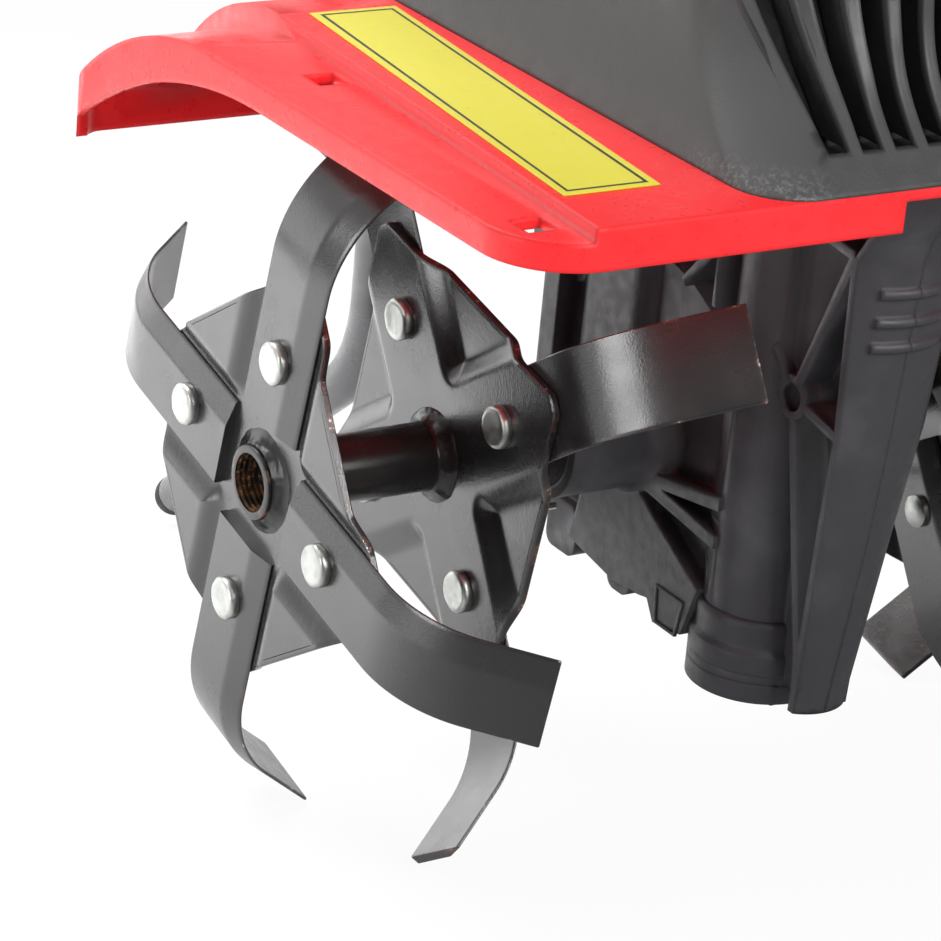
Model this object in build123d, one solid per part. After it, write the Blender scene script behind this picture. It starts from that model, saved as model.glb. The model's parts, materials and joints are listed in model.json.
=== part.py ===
from build123d import *
import math
import os

# Mini tiller. Lengths in millimetres, angles in degrees.
# The machine's own frame has x across (its right side is -x), y to the rear and z up, with zero
# in the middle of the axle. "Forward" is -y. At rest the machine leans nose down by REST_PITCH.

REST_PITCH = 9.5
FAR = 200.0
RUNNING_CLEARANCE = 0.05
HOLE_CLEARANCE = 0.1

# Tine stars
RIVET_CIRCLE = 40.0
RIVET_HEAD_RADIUS = 6.25
RIVET_HEAD_HEIGHT = 3.0
RIVET_SHANK_RADIUS = 3.2
RIVET_TAIL_RADIUS = 5.0
RIVET_TAIL_HEIGHT = 2.5
TINE_WIDTH = 27.5
TINE_THICKNESS = 3.0
TINE_ROOT = 19.5
TINE_BEND_START = 68.0
TINE_BEND_RADIUS = 40.0
TINE_TIP_LENGTH = 20.5
TINE_BEVEL = 8.0
TINE_EDGE = 0.8
OUTER_TINE_BEND = 50.0
INNER_TINE_BEND = 56.0
PLATE_THICKNESS = 2.5
PLATE_HALF_SIDE = 50.0
PLATE_CORNER_TRIM = 68.0
POCKET_DEPTH = 4.0
POCKET_EDGE = 15.0
POCKET_FLOOR = 20.0
POCKET_CORNER = 8.0
OUTER_PLATE_FACE = 140.3
INNER_PLATE_FACE = 84.9
OUTER_STAR_ANGLES = (68.0, 158.0, -112.0, -22.0)
INNER_STAR_ANGLES = (113.6, 23.6, -66.4, 203.6)

# Hub tubes and their pins
HUB_RADIUS = 10.0
HUB_BORE = 8.0
HUB_MOUTH_BORE = 8.4
HUB_MOUTH_DEPTH = 22.0
HUB_OUTER_END = 144.5
HUB_INNER_END = 51.5
WELD_RADIUS = 15.0
WELD_LENGTH = 3.5
PIN_X = 57.5
PIN_RADIUS = 3.0
PIN_END = 24.5
PIN_HEAD_RADIUS = 5.5
PIN_HEAD_HEIGHT = 3.0
CLIP_LEG = 21.0
CLIP_WIRE = 1.1
CLIP_DROP = 8.0
CLIP_BEND = 1.8
CLIP_REACH = 14.5
CLIP_ARM = 5.5

# Axle and worm drive
AXLE_RADIUS = 7.95
AXLE_HALF_LENGTH = 122.0
WHEEL_SEAT_RADIUS = 9.0
GEAR_MODULE = 2.0
WHEEL_TEETH = 42
WHEEL_FACE = 12.0
WHEEL_HUB_RADIUS = 15.0
WHEEL_HUB_LENGTH = 17.0
KEY_HALF_LENGTH = 6.0
KEY_HALF = 2.0
WORM_PITCH_RADIUS = 10.0
WORM_ROOT_RADIUS = 7.7
WORM_TIP_RADIUS = 11.6
WORM_LENGTH = 44.0
WORM_SHOULDER = 4.0
WORM_TAIL_RADIUS = 5.0
THREAD_TIP_WIDTH = 0.9
THREAD_ROOT_WIDTH = 3.6
TOOTH_TIP_WIDTH = 1.0
TOOTH_ROOT_WIDTH = 3.6

WHEEL_PITCH_RADIUS = GEAR_MODULE * WHEEL_TEETH / 2
WHEEL_TIP_RADIUS = WHEEL_PITCH_RADIUS + 1.5
WHEEL_ROOT_RADIUS = WHEEL_PITCH_RADIUS - 2.3
WORM_LEAD = math.pi * GEAR_MODULE
WORM_FORWARD = WHEEL_PITCH_RADIUS + WORM_PITCH_RADIUS

# Gear case
CASE_TOP = 117.0
CASE_REAR = -47.0
CASE_WEB = 5.0
RIM_HALF_WIDTH = 20.0
RIM_DEPTH = 8.0
WHEEL_HOUSING_RADIUS = 53.0
WHEEL_HOUSING_HALF = 13.0
WHEEL_CAVITY_RADIUS = 46.0
WHEEL_CAVITY_HALF = 9.0
BOSS_RADIUS = 18.0
BOSS_END = 48.0
BUSH_RADIUS = 12.0
SEAL_RADIUS = 14.5
SEAL_LENGTH = 4.0
WORM_TUBE_RADIUS = 18.0
WORM_CAVITY_RADIUS = 13.8
LOWER_HOUSING_RADIUS = 20.5
LOWER_HOUSING_STEP = 1.5
LOWER_HOUSING_TOP = -37.0
LOWER_HOUSING_MIDDLE = -46.0
LOWER_HOUSING_BOTTOM = -55.0
LOWER_BEARING_TOP = -44.0
BEARING_CAP_HEIGHT = 6.0
TOP_FLANGE_HALF = 34.0
TOP_FLANGE_HEIGHT = 5.0
TOP_FLANGE_FRONT = 118.0
RIM_BOTTOM = -5.0
LOWER_BEARING_RADIUS = 13.0
UPPER_BEARING_RADIUS = 14.0
UPPER_BEARING_DEPTH = 10.0
UPPER_BEARING_LENGTH = 8.0
WORM_ROOM_BOTTOM = -36.0
WORM_ROOM_TOP = 32.0
SHAFT_ROOM_RADIUS = 9.0
TRUSS_BOSS = (71.7, 36.0)
TRUSS_FOOT = (82.5, -40.0)
TRUSS_SHOULDER = (95.0, 86.0)
CASE_SCREW_SPOTS = (TRUSS_BOSS, (-38.0, 100.0), (-38.0, 38.0), (82.0, 98.0), (-28.0, -46.0))
CASE_SCREW_RADIUS = 2.5
CASE_BOSS_RADIUS = 6.5
CASE_BOSS_HALF = 15.0
CASE_SCREW_HEAD = 4.5
CASE_SCREW_TIP = 10.0
BOSS_RECESS_RADIUS = 4.3
BOSS_RECESS_DEPTH = 3.0
CAP_SCREW_RADIUS = 1.5
CAP_SCREW_HEAD = 3.0
CAP_SCREW_HEAD_HEIGHT = 2.0
CAP_SCREW_SINK = 2.5
CAP_SCREW_GRIP = 9.0
CAP_SCREW_OFFSET = 11.5
CAP_TONGUE = 71.5
CAP_TONGUE_ROOT_HALF = 16.0
CAP_TONGUE_END_HALF = 8.0
BOSS_ROOT_RADIUS = 24.0
BOSS_ROOT_LENGTH = 10.0
NOSE_BOTTOM = -58.0
NOSE_BOTTOM_HALF = 9.0
NOSE_TOP_HALF = 20.0
NOSE_SKIN = 2.5
NOSE_PROFILE = (
    (NOSE_BOTTOM, 83.0, 86.0),
    (0.0, 90.0, 95.0),
    (33.0, 94.5, 98.5),
    (84.0, 96.5, 102.5),
    (92.0, 102.0, 105.0),
    (100.0, 109.0, 111.0),
    (109.0, 114.0, 116.0),
    (CASE_TOP, 115.5, TOP_FLANGE_FRONT),
)
FAN_RIB_WIDTH = 4.2
FAN_RIB_HALF = 19.0
RIB_WIDTH = 3.0
UPPER_RIB_HALF = 18.0
BULGE_REAR = -34.0
BULGE_FRONT = 4.0
BULGE_BOTTOM = -10.0
BULGE_HALF = 18.0
BULGE_CORNER = 9.0
TRUSS_WALL_HALF = 11.0
LUMP_HALF = 17.0
LUMP_CORNER = 4.0
GRIP_RIB_HEIGHTS = (60.0, 67.5, 76.0)
GRIP_RIB_RADIUS = 1.6
GRIP_RIB_HALF = 11.5
SCREW_HEAD_HEIGHT = 3.0

# Guard
GUARD_TOP = 120.0
GUARD_WALL = 3.0
GUARD_FRONT = 135.0
GUARD_HALF_WIDTH = 150.0
GUARD_REAR = -113.0
GUARD_CORNER = 22.0
GUARD_REAR_CORNER = 11.0
GUARD_DECK_FRONT_HALF = 131.0
GUARD_DECK_REAR_HALF = 115.0
GUARD_WING_TOP = 116.0
GUARD_EDGE = 108.5
GUARD_REAR_EDGE = 67.0
GUARD_DECK_ARC_START = -45.0
GUARD_DECK_ARC_RADIUS = 80.0
GUARD_WING_ARC_START = -30.0
GUARD_WING_ARC_RADIUS = 111.5
GUARD_SKIRT_RADIUS = 180.0
PLATFORM_HALF = 80.0
PLATFORM_REAR = -78.0
ARM_NOTCH_HALF = 17.0
ARM_NOTCH_TOP = 110.0
GUARD_NOTCH_HALF = 36.0
GUARD_HOLE_HALF = 4.6
GUARD_HOLE_SPOTS = ((138.0, 118.0), (129.5, 0.0))
SHAFT_OPENING = 17.0
LIP_NOTCH_REAR = 111.0
STICKER_OUTLINE = ((-111.0, -43.0), (-83.0, -43.0), (-97.0, 112.0), (-126.0, 112.0))
STICKER_THICKNESS = 0.4

# Motor
MOTOR_SCREW_OFFSET = 28.0
MOTOR_SCREW_RADIUS = 2.5
MOTOR_SCREW_HEAD = 4.5
STATOR_RADIUS = 40.0
STATOR_BORE = 22.2
STATOR_BOTTOM = 166.0
STATOR_TOP = 214.0
ARMATURE_RADIUS = 21.3
SHAFT_RADIUS = 6.0
SHAFT_TOP_RADIUS = 4.0
ARMATURE_SLOTS = 12
SLOT_HALF = 1.0
SLOT_DEPTH = 3.3
COMMUTATOR_RADIUS = 11.0
COMMUTATOR_BOTTOM = 222.0
COMMUTATOR_TOP = 237.0
BRUSH_BOTTOM = 225.0
BRUSH_GAP = 0.4
BRUSH_END = 29.0
BRUSH_HALF = 5.0
FAN_RADIUS = 28.0
FAN_HUB_RADIUS = 10.0
FAN_BOTTOM = 131.0
FAN_DISC = 3.0
FAN_TOP = 148.0
FAN_BLADES = 8
BLADE_HALF = 1.0
COIL_HALF = 24.0
COIL_POLE_HALF = 17.0
COIL_NEAR = 23.0
COIL_FAR = 29.0
COIL_OVERHANG = 8.0
MOTOR_BASE_RADIUS = 48.0
MOTOR_BASE_TOP = 126.0
POST_X = 34.0
POST_Y = 9.0
POST_RADIUS = 4.0
TOP_BRACKET_BOTTOM = 240.0
TOP_BRACKET_TOP = 246.0
TOP_BEARING_RADIUS = 11.0
TOP_BEARING_FLOOR = 1.5
HOOD_TOP = 240.0
HOOD_WALL = 3.0
LOUVRE_COUNT = 11
LOUVRE_PITCH = 10.5
LOUVRE_SLOT = 7.0
LOUVRE_BOTTOM = 128.0
LOUVRE_TOP = 190.0
HOOD_SCREW_RADIUS = 2.0
HOOD_SCREW_HEAD = 4.2
HOOD_BOSS_RADIUS = 6.0
HOOD_BOSS_HEIGHT = 12.0
HOOD_SCREW_GRIP = 9.0
CAP_SCREW_SEAT = 8.0
CAP_SCREW_LENGTH = 22.0
GLAND_UP = HOOD_TOP + 9.0
GLAND_RADIUS = 7.0
GLAND_BORE = 4.0
GLAND_COLLAR = 10.0
GLAND_FRONT = -42.0
GLAND_REAR = -58.0
GLAND_COLLAR_FRONT = -48.2
GLAND_COLLAR_REAR = -53.0
CAP_SCREW_SPOTS = ((49.0, 25.0), (-49.0, 25.0), (35.0, -31.0), (-35.0, -31.0))
HOOD_SCREW_SPOTS = ((27.0, -34.0), (-27.0, -34.0), (27.0, 104.0), (-27.0, 104.0))

# Rear arm, drag bar and handles
BAR_RADIUS = 7.5
BAR_FORWARD = -175.0
BAR_TOP = 168.0
BAR_BEND_START = -26.0
BAR_BEND_RADIUS = 50.0
BAR_BEND_ANGLE = 52.0
BAR_TAIL = 134.0
SLEEVE_RADIUS = 13.0
SLEEVE_BOTTOM = 62.0
SLEEVE_TOP = 122.0
ARM_FLANGE = 8.0
ARM_FLANGE_BOTTOM = 34.0
ARM_FLANGE_TOP = 99.0
ARM_HALF = 12.0
ARM_BOLT_RADIUS = 3.0
ARM_BOLT_HEAD = 5.2
ARM_BOLT_HEAD_HEIGHT = 4.0
ARM_BOLT_GRIP = 12.0
ARM_BOLT_ROOM = 6.5
ARM_BOLT_X = 12.0
ARM_BOLT_HEIGHTS = (45.0, 88.0)
SADDLE_BOTTOM = 96.0
TUBE_RADIUS = 11.0
TUBE_WALL = 1.5
TUBE_FORWARD = -138.0
TUBE_UP = 133.0
CLAMP_HALF = 19.0
CLAMP_HALF_WIDTH = 30.0
CLAMP_HEIGHT = 15.0
CLAMP_GAP = 0.5
CLAMP_BOLT_RADIUS = 2.5
CLAMP_BOLT_HEAD = 4.2
CLAMP_BOLT_LENGTH = 34.0
CLAMP_BOLT_X = 22.0
CLAMP_BOLT_OFFSET = 14.3
LOWER_HALF_WIDTH = 110.0
UPPER_HALF_WIDTH = 133.0
HANDLE_RISE = 43.0
LOWER_LEG = 420.0
UPPER_LEG = 470.0
LOWER_BEND = 45.0
UPPER_BEND = 60.0
FOLD_FROM_END = 20.0
FOLD_BOLT_RADIUS = 3.0
FOLD_BOLT_HEAD = 6.0
FOLD_BOLT_HEAD_HEIGHT = 4.0
FOLD_BOLT_OVER = 9.0
KNOB_HEIGHT = 14.0
BAR_KNOB_RADIUS = 18.0
FOLD_KNOB_RADIUS = 17.0
KNOB_SCREW_RADIUS = 4.0
KNOB_LOBES = 5
KNOB_BODY_SHARE = 0.72
KNOB_LOBE_SHARE = 0.32
KNOB_LOBE_HEIGHT_SHARE = 0.8
BAR_KNOB_GAP = 1.0
KNOB_GAP = 0.4
FOOT_LENGTH = 2.0
GRIP_RADIUS = 15.0
GRIP_OUTER = 72.0
GRIP_INNER = 30.5

# Switch box, in the frame of the upper handle's top: across, along its legs and square to them
BOX_HALF = 30.0
BOX_FRONT = -62.0
BOX_REAR = 18.0
BOX_BOTTOM = -15.0
BOX_SPLIT = 13.0
BOX_TOP = 22.0
BOX_WALL = 4.0
LID_WALL = 3.0
ROOM_REAR = -14.0
BUTTON_RADIUS = 6.5
BUTTON_FLANGE = 2.5
BUTTON_ALONG = -30.0
BUTTON_BOTTOM = 16.7
BUTTON_SHOULDER = 18.7
BUTTON_TOP = 28.0
LID_SCREW_RADIUS = 1.5
LID_SCREW_HEAD = 3.0
LID_SCREW_HEAD_HEIGHT = 2.0
LID_SCREW_TIP = 4.0
LID_SCREW_SPOTS = ((-25.8, -58.5), (25.8, -58.5), (-22.0, 14.5), (22.0, 14.5))
LEVER_LENGTH = 46.0
LEVER_ANGLE = 50.0
LEVER_RADIUS = 5.0
LEVER_HALF = 72.0
LEVER_ARM_RADIUS = 4.5
LEVER_ARM_X = 36.0
PIVOT_RADIUS = 4.0
PIVOT_X = 27.5
PIVOT_ALONG = -48.0
PIVOT_OVER = -2.0
SWITCH_HALF = 10.0
SWITCH_FRONT = -46.0
SWITCH_REAR = -26.0
SWITCH_TOP = 3.0
INLET_X = -8.0
INLET_HALF = 10.0
INLET_HALF_HEIGHT = 8.0
INLET_FRONT = -66.0
INLET_REAR = -52.0
INLET_PIN_OFFSET = 5.0
INLET_PIN_RADIUS = 2.4
INLET_PIN_LENGTH = 19.0
LEAD_X = 16.0
LEAD_RADIUS = 5.0
LEAD_BORE = 3.0
LEAD_FRONT = -72.0
LEAD_REAR = -54.0


def spot(x, forward, up):
    """A point in the machine's frame."""
    return Vector(x, -forward, up)


def rod(radius, start, end):
    """A round bar between two points."""
    axis = end - start
    return Solid.make_cylinder(radius, axis.length, Plane(origin=start, z_dir=axis))


def cone(radius_start, radius_end, start, end):
    """A tapered round bar between two points."""
    axis = end - start
    return Solid.make_cone(radius_start, radius_end, axis.length, Plane(origin=start, z_dir=axis))


def rod_x(radius, x_from, x_to, forward=0.0, up=0.0):
    return rod(radius, spot(x_from, forward, up), spot(x_to, forward, up))


def rod_z(radius, up_from, up_to, x=0.0, forward=WORM_FORWARD):
    return rod(radius, spot(x, forward, up_from), spot(x, forward, up_to))


def block(x_from, x_to, forward_from, forward_to, up_from, up_to):
    """A box given by its limits in the machine's frame."""
    corner = spot(x_from, forward_to, up_from)
    return Solid.make_box(x_to - x_from, forward_to - forward_from, up_to - up_from, Plane(origin=corner))


def side_plate(outline, x_from, x_to):
    """A plate with a (forward, up) outline that stands across x."""
    face = Face(Wire.make_polygon([spot(x_from, forward, up) for forward, up in outline]))
    return Solid.extrude(face, Vector(x_to - x_from, 0, 0))


def strip(start, end, width, x_from, x_to):
    """A straight rib between two (forward, up) points."""
    run = math.hypot(end[0] - start[0], end[1] - start[1])
    across = (-(end[1] - start[1]) / run * width / 2, (end[0] - start[0]) / run * width / 2)
    outline = [
        (start[0] + across[0], start[1] + across[1]),
        (end[0] + across[0], end[1] + across[1]),
        (end[0] - across[0], end[1] - across[1]),
        (start[0] - across[0], start[1] - across[1]),
    ]
    return side_plate(outline, x_from, x_to)


def flat_plate(outline, up_from, up_to):
    """A plate with an (x, forward) outline that lies flat."""
    face = Face(Wire.make_polygon([spot(x, forward, up_from) for x, forward in outline]))
    return Solid.extrude(face, Vector(0, 0, up_to - up_from))


def join(first, *others):
    """One solid made of several that touch."""
    return first.fuse(*others).clean().solid()


def cut(body, *tools):
    """The body less the tools."""
    return body.cut(*tools).solid()


def group(solids):
    """Separate solids of one node."""
    return Compound(solids)


def both_sides(solid):
    """A solid and its mirror image across the machine's middle."""
    return [solid, solid.mirror(Plane.YZ)]


def wire_rod(path, radius):
    """A bar of round section along a path."""
    start = path.position_at(0)
    disc = Face(Wire.make_circle(radius, Plane(origin=start, z_dir=path.tangent_at(0))))
    return Solid.sweep(disc, path)


def at_star_angle(solid, angle):
    """Turns a solid that points up to a star angle, counted from forward towards up."""
    return Rot(90 - angle, 0, 0) * solid


def tine(bend, towards, bevel_edge):
    """One tine that points up, its flat part about x = 0, bent towards +x or -x."""
    half = TINE_THICKNESS / 2
    side = bevel_edge * TINE_WIDTH / 2
    section = Face(
        Wire.make_polygon(
            [
                (-half, -side, TINE_ROOT),
                (half, -side, TINE_ROOT),
                (half, side, TINE_ROOT),
                (half - TINE_EDGE, side, TINE_ROOT),
                (-half, side - bevel_edge * TINE_BEVEL, TINE_ROOT),
            ]
        )
    )

    def on_arc(angle):
        turn = math.radians(angle)
        return Vector(
            towards * TINE_BEND_RADIUS * (1 - math.cos(turn)),
            0,
            TINE_BEND_START + TINE_BEND_RADIUS * math.sin(turn),
        )

    root = Vector(0, 0, TINE_ROOT)
    tip_way = Vector(towards * math.sin(math.radians(bend)), 0, math.cos(math.radians(bend)))
    path = Wire(
        [
            Edge.make_line(root, on_arc(0)),
            Edge.make_three_point_arc(on_arc(0), on_arc(bend / 2), on_arc(bend)),
            Edge.make_line(on_arc(bend), on_arc(bend) + tip_way * TINE_TIP_LENGTH),
        ]
    )
    bar = Solid.sweep(section, path)
    rivet_hole = rod(
        RIVET_SHANK_RADIUS + HOLE_CLEARANCE,
        Vector(-TINE_THICKNESS, 0, RIVET_CIRCLE),
        Vector(TINE_THICKNESS, 0, RIVET_CIRCLE),
    )
    return cut(bar, rivet_hole)


def outer_tines():
    """The right outer star's tines, on the plate's outer face, all bent towards the gear case."""
    middle = -OUTER_PLATE_FACE - TINE_THICKNESS / 2
    edges = (-1, -1, 1, 1)
    tines = [tine(OUTER_TINE_BEND, 1, edge) for edge in edges]
    return [at_star_angle(Pos(middle, 0, 0) * t, a) for t, a in zip(tines, OUTER_STAR_ANGLES)]


def inner_tines():
    """The right inner star's tines, behind the plate, bent in and out by turns."""
    middle = -INNER_PLATE_FACE + PLATE_THICKNESS + TINE_THICKNESS / 2
    ways = (-1, 1, -1, 1)
    edges = (-1, -1, 1, 1)
    bends = (OUTER_TINE_BEND, INNER_TINE_BEND, OUTER_TINE_BEND, INNER_TINE_BEND)
    tines = [tine(*shape) for shape in zip(bends, ways, edges)]
    return [at_star_angle(Pos(middle, 0, 0) * t, a) for t, a in zip(tines, INNER_STAR_ANGLES)]


def pocket_outline(edge, x):
    """A pocket's outline between the spokes that lie forward and up: a rounded corner, open outwards."""
    far = 2 * PLATE_HALF_SIDE
    corner = edge + POCKET_CORNER
    bend = corner - POCKET_CORNER * math.sqrt(0.5)
    return Wire(
        [
            Edge.make_line(spot(x, far, edge), spot(x, corner, edge)),
            Edge.make_three_point_arc(spot(x, corner, edge), spot(x, bend, bend), spot(x, edge, corner)),
            Edge.make_line(spot(x, edge, corner), spot(x, edge, far)),
            Edge.make_line(spot(x, edge, far), spot(x, far, far)),
            Edge.make_line(spot(x, far, far), spot(x, far, edge)),
        ]
    )


def pocket(face_x, turn):
    """What is pressed out of a plate's face between two spokes: a flat floor with sloping walls."""
    slope = (POCKET_FLOOR - POCKET_EDGE) / POCKET_DEPTH
    mouth = pocket_outline(POCKET_EDGE - slope, face_x - 1)
    floor = pocket_outline(POCKET_FLOOR, face_x + POCKET_DEPTH)
    return Rot(turn, 0, 0) * Solid.make_loft([mouth, floor], True)


def star_plate(face_x, angles):
    """A pressed plate, one face at face_x, its pockets pressed to +x, corners at the tine angles."""
    corner = PLATE_HALF_SIDE * math.sqrt(2)
    trim = corner - PLATE_CORNER_TRIM
    quarter = [(PLATE_CORNER_TRIM, trim), (trim, PLATE_CORNER_TRIM)]
    outline = []
    for quarter_turn in range(4):
        step = math.radians(90 * quarter_turn)
        for along, out in quarter:
            forward = along * math.cos(step) - out * math.sin(step)
            outline.append((forward, along * math.sin(step) + out * math.cos(step)))
    deep = face_x + POCKET_DEPTH + PLATE_THICKNESS
    whole = side_plate(outline, face_x, deep)
    turns = [90 * number for number in range(4)]
    faces = [pocket(face_x, turn) for turn in turns]
    backs = [Pos(PLATE_THICKNESS, 0, 0) * face for face in faces]
    spokes = side_plate(outline, face_x + PLATE_THICKNESS, deep + 1).cut(*backs)
    blank = cut(whole, *faces, *spokes.solids())
    hub_hole = rod_x(HUB_RADIUS + HOLE_CLEARANCE, face_x - 1, deep)
    hole = rod_x(RIVET_SHANK_RADIUS + HOLE_CLEARANCE, face_x - 1, deep, 0.0, RIVET_CIRCLE)
    plate = cut(blank, hub_hole, *[Rot(turn, 0, 0) * hole for turn in turns])
    return at_star_angle(plate, angles[0])


def rivet(head_face, tail_face):
    """A rivet that points along x at the top of its circle, between two clamped faces."""
    head = rod_x(RIVET_HEAD_RADIUS, head_face - RIVET_HEAD_HEIGHT, head_face, up=RIVET_CIRCLE)
    head = head.chamfer(0.8, None, [head.edges().sort_by(Axis.X)[0]])
    shank = rod_x(RIVET_SHANK_RADIUS, head_face, tail_face, up=RIVET_CIRCLE)
    tail = rod_x(RIVET_TAIL_RADIUS, tail_face, tail_face + RIVET_TAIL_HEIGHT, up=RIVET_CIRCLE)
    return join(head, shank, tail)


def rivets():
    """All eight rivets of the right tine set."""
    outer = rivet(-OUTER_PLATE_FACE - TINE_THICKNESS, -OUTER_PLATE_FACE + PLATE_THICKNESS)
    inner = rivet(-INNER_PLATE_FACE, -INNER_PLATE_FACE + PLATE_THICKNESS + TINE_THICKNESS)
    outer_set = [at_star_angle(outer, angle) for angle in OUTER_STAR_ANGLES]
    inner_set = [at_star_angle(inner, angle) for angle in INNER_STAR_ANGLES]
    return outer_set + inner_set


def hub_tube():
    """The right hub tube with the weld beads of both plates."""
    tube = rod_x(HUB_RADIUS, -HUB_OUTER_END, -HUB_INNER_END)
    beads = []
    for face in (OUTER_PLATE_FACE, INNER_PLATE_FACE):
        back = face - PLATE_THICKNESS
        beads.append(cone(WELD_RADIUS, HUB_RADIUS, spot(-face, 0, 0), spot(-face - WELD_LENGTH, 0, 0)))
        beads.append(cone(WELD_RADIUS, HUB_RADIUS, spot(-back, 0, 0), spot(-back + WELD_LENGTH, 0, 0)))
    bore = rod_x(HUB_BORE, -HUB_OUTER_END - 1, -HUB_INNER_END + 1)
    pin_hole = rod(PIN_RADIUS + HOLE_CLEARANCE, Vector(-PIN_X, 0, -PIN_END), Vector(-PIN_X, 0, PIN_END))
    mouth = rod_x(HUB_MOUTH_BORE, -HUB_OUTER_END - 1, -HUB_OUTER_END + HUB_MOUTH_DEPTH)
    return cut(join(tube, *beads), bore, pin_hole, mouth)


def cross_pin():
    """The pin through the right hub tube and the axle, with a hole for its clip."""
    seat = Vector(-PIN_X, 0, HUB_RADIUS)
    shank = rod(PIN_RADIUS, Vector(-PIN_X, 0, -PIN_END), seat)
    head = rod(PIN_HEAD_RADIUS, seat, seat + Vector(0, 0, PIN_HEAD_HEIGHT))
    clip_hole = rod_x(CLIP_WIRE, -PIN_X - 2 * PIN_RADIUS, -PIN_X + 2 * PIN_RADIUS, up=-CLIP_LEG)
    return cut(join(shank, head), clip_hole)


def hairpin():
    """The right hairpin clip, its straight leg through the pin."""
    low = -CLIP_LEG - CLIP_DROP
    path = FilletPolyline(
        [
            (CLIP_REACH - PIN_X, 0, -CLIP_LEG),
            (-PIN_X - CLIP_REACH, 0, -CLIP_LEG),
            (-PIN_X - CLIP_REACH - 2, 0, low + 3),
            (-PIN_X - CLIP_REACH + 2, 0, low),
            (-PIN_X - CLIP_ARM, 0, low),
            (-PIN_X, 0, -PIN_END - CLIP_WIRE - 0.5),
            (-PIN_X + CLIP_ARM, 0, low),
        ],
        radius=CLIP_BEND,
    )
    return wire_rod(path.wire(), CLIP_WIRE)


def axle():
    """The axle with the seat and keyway of the worm wheel."""
    half = WHEEL_HUB_LENGTH / 2
    seat = rod_x(WHEEL_SEAT_RADIUS, -half, half)
    bar = join(rod_x(AXLE_RADIUS, -AXLE_HALF_LENGTH, AXLE_HALF_LENGTH), seat)
    pin_hole = rod(PIN_RADIUS + HOLE_CLEARANCE, Vector(-PIN_X, 0, -PIN_END), Vector(-PIN_X, 0, PIN_END))
    pin_hole = Rot(-REST_PITCH, 0, 0) * pin_hole
    return cut(bar, *both_sides(pin_hole), key_block())


def key_block():
    """The key between axle and wheel."""
    low = WHEEL_SEAT_RADIUS - KEY_HALF
    high = WHEEL_SEAT_RADIUS + KEY_HALF
    return block(-KEY_HALF_LENGTH, KEY_HALF_LENGTH, -KEY_HALF, KEY_HALF, low, high)


def wheel_tooth():
    """One tooth at the top of the wheel, twisted by the worm's lead angle."""
    lead_angle = math.degrees(math.atan(WORM_LEAD / (2 * math.pi * WORM_PITCH_RADIUS)))
    slope = math.tan(math.radians(lead_angle))
    sections = []
    for x in (-WHEEL_FACE / 2, WHEEL_FACE / 2):
        turn = math.degrees(x * slope / WHEEL_PITCH_RADIUS)
        outline = Wire.make_polygon(
            [
                (x, -TOOTH_ROOT_WIDTH / 2, WHEEL_ROOT_RADIUS - 0.5),
                (x, TOOTH_ROOT_WIDTH / 2, WHEEL_ROOT_RADIUS - 0.5),
                (x, TOOTH_TIP_WIDTH / 2, WHEEL_TIP_RADIUS),
                (x, -TOOTH_TIP_WIDTH / 2, WHEEL_TIP_RADIUS),
            ]
        )
        sections.append(Rot(turn, 0, 0) * outline)
    return Solid.make_loft(sections, True)


def worm_wheel():
    """The worm wheel, with a gap between teeth straight ahead where the worm meshes."""
    half = WHEEL_FACE / 2
    rim = rod_x(WHEEL_ROOT_RADIUS, -half, half)
    hub = rod_x(WHEEL_HUB_RADIUS, -WHEEL_HUB_LENGTH / 2, WHEEL_HUB_LENGTH / 2)
    pitch = 360.0 / WHEEL_TEETH
    tooth = wheel_tooth()
    teeth = [Rot(90 + pitch * (number + 0.5), 0, 0) * tooth for number in range(WHEEL_TEETH)]
    bore = rod_x(WHEEL_SEAT_RADIUS, -WHEEL_HUB_LENGTH, WHEEL_HUB_LENGTH)
    return cut(join(rim, hub, *teeth), bore, key_block())


def worm_thread():
    """The worm's thread, with its crest at the wheel's height on the side of the wheel."""
    turns = math.ceil(WORM_LENGTH / WORM_LEAD)
    start = -WORM_LEAD * (turns / 2.0 + 0.25)
    if turns % 2:
        start = -WORM_LEAD * ((turns - 1) / 2.0 + 0.25)
    helix = Edge.make_helix(WORM_LEAD, WORM_LEAD * turns, WORM_PITCH_RADIUS, Vector(0, 0, start))
    root = WORM_ROOT_RADIUS - 0.4
    section = Wire.make_polygon(
        [
            (root, 0, start - THREAD_ROOT_WIDTH / 2),
            (WORM_TIP_RADIUS, 0, start - THREAD_TIP_WIDTH / 2),
            (WORM_TIP_RADIUS, 0, start + THREAD_TIP_WIDTH / 2),
            (root, 0, start + THREAD_ROOT_WIDTH / 2),
        ]
    )
    return Solid.sweep(Face(section), Wire([helix]), is_frenet=True)


def worm_shaft():
    """The motor shaft with the worm on its lower part."""
    half = WORM_LENGTH / 2 + WORM_SHOULDER
    thread = Pos(0, -WORM_FORWARD, 0) * worm_thread()
    return join(
        rod_z(WORM_ROOT_RADIUS, -half, half),
        thread,
        rod_z(WORM_TAIL_RADIUS, LOWER_HOUSING_BOTTOM + 1, -half),
        rod_z(SHAFT_RADIUS, half, TOP_BRACKET_BOTTOM),
        rod_z(SHAFT_TOP_RADIUS, TOP_BRACKET_BOTTOM, TOP_BRACKET_TOP + 3),
    )


def nose_half(up):
    """Half the nose's width at a height."""
    share = (up - NOSE_BOTTOM) / (CASE_TOP - NOSE_BOTTOM)
    return NOSE_BOTTOM_HALF + (NOSE_TOP_HALF - NOSE_BOTTOM_HALF) * share


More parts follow.
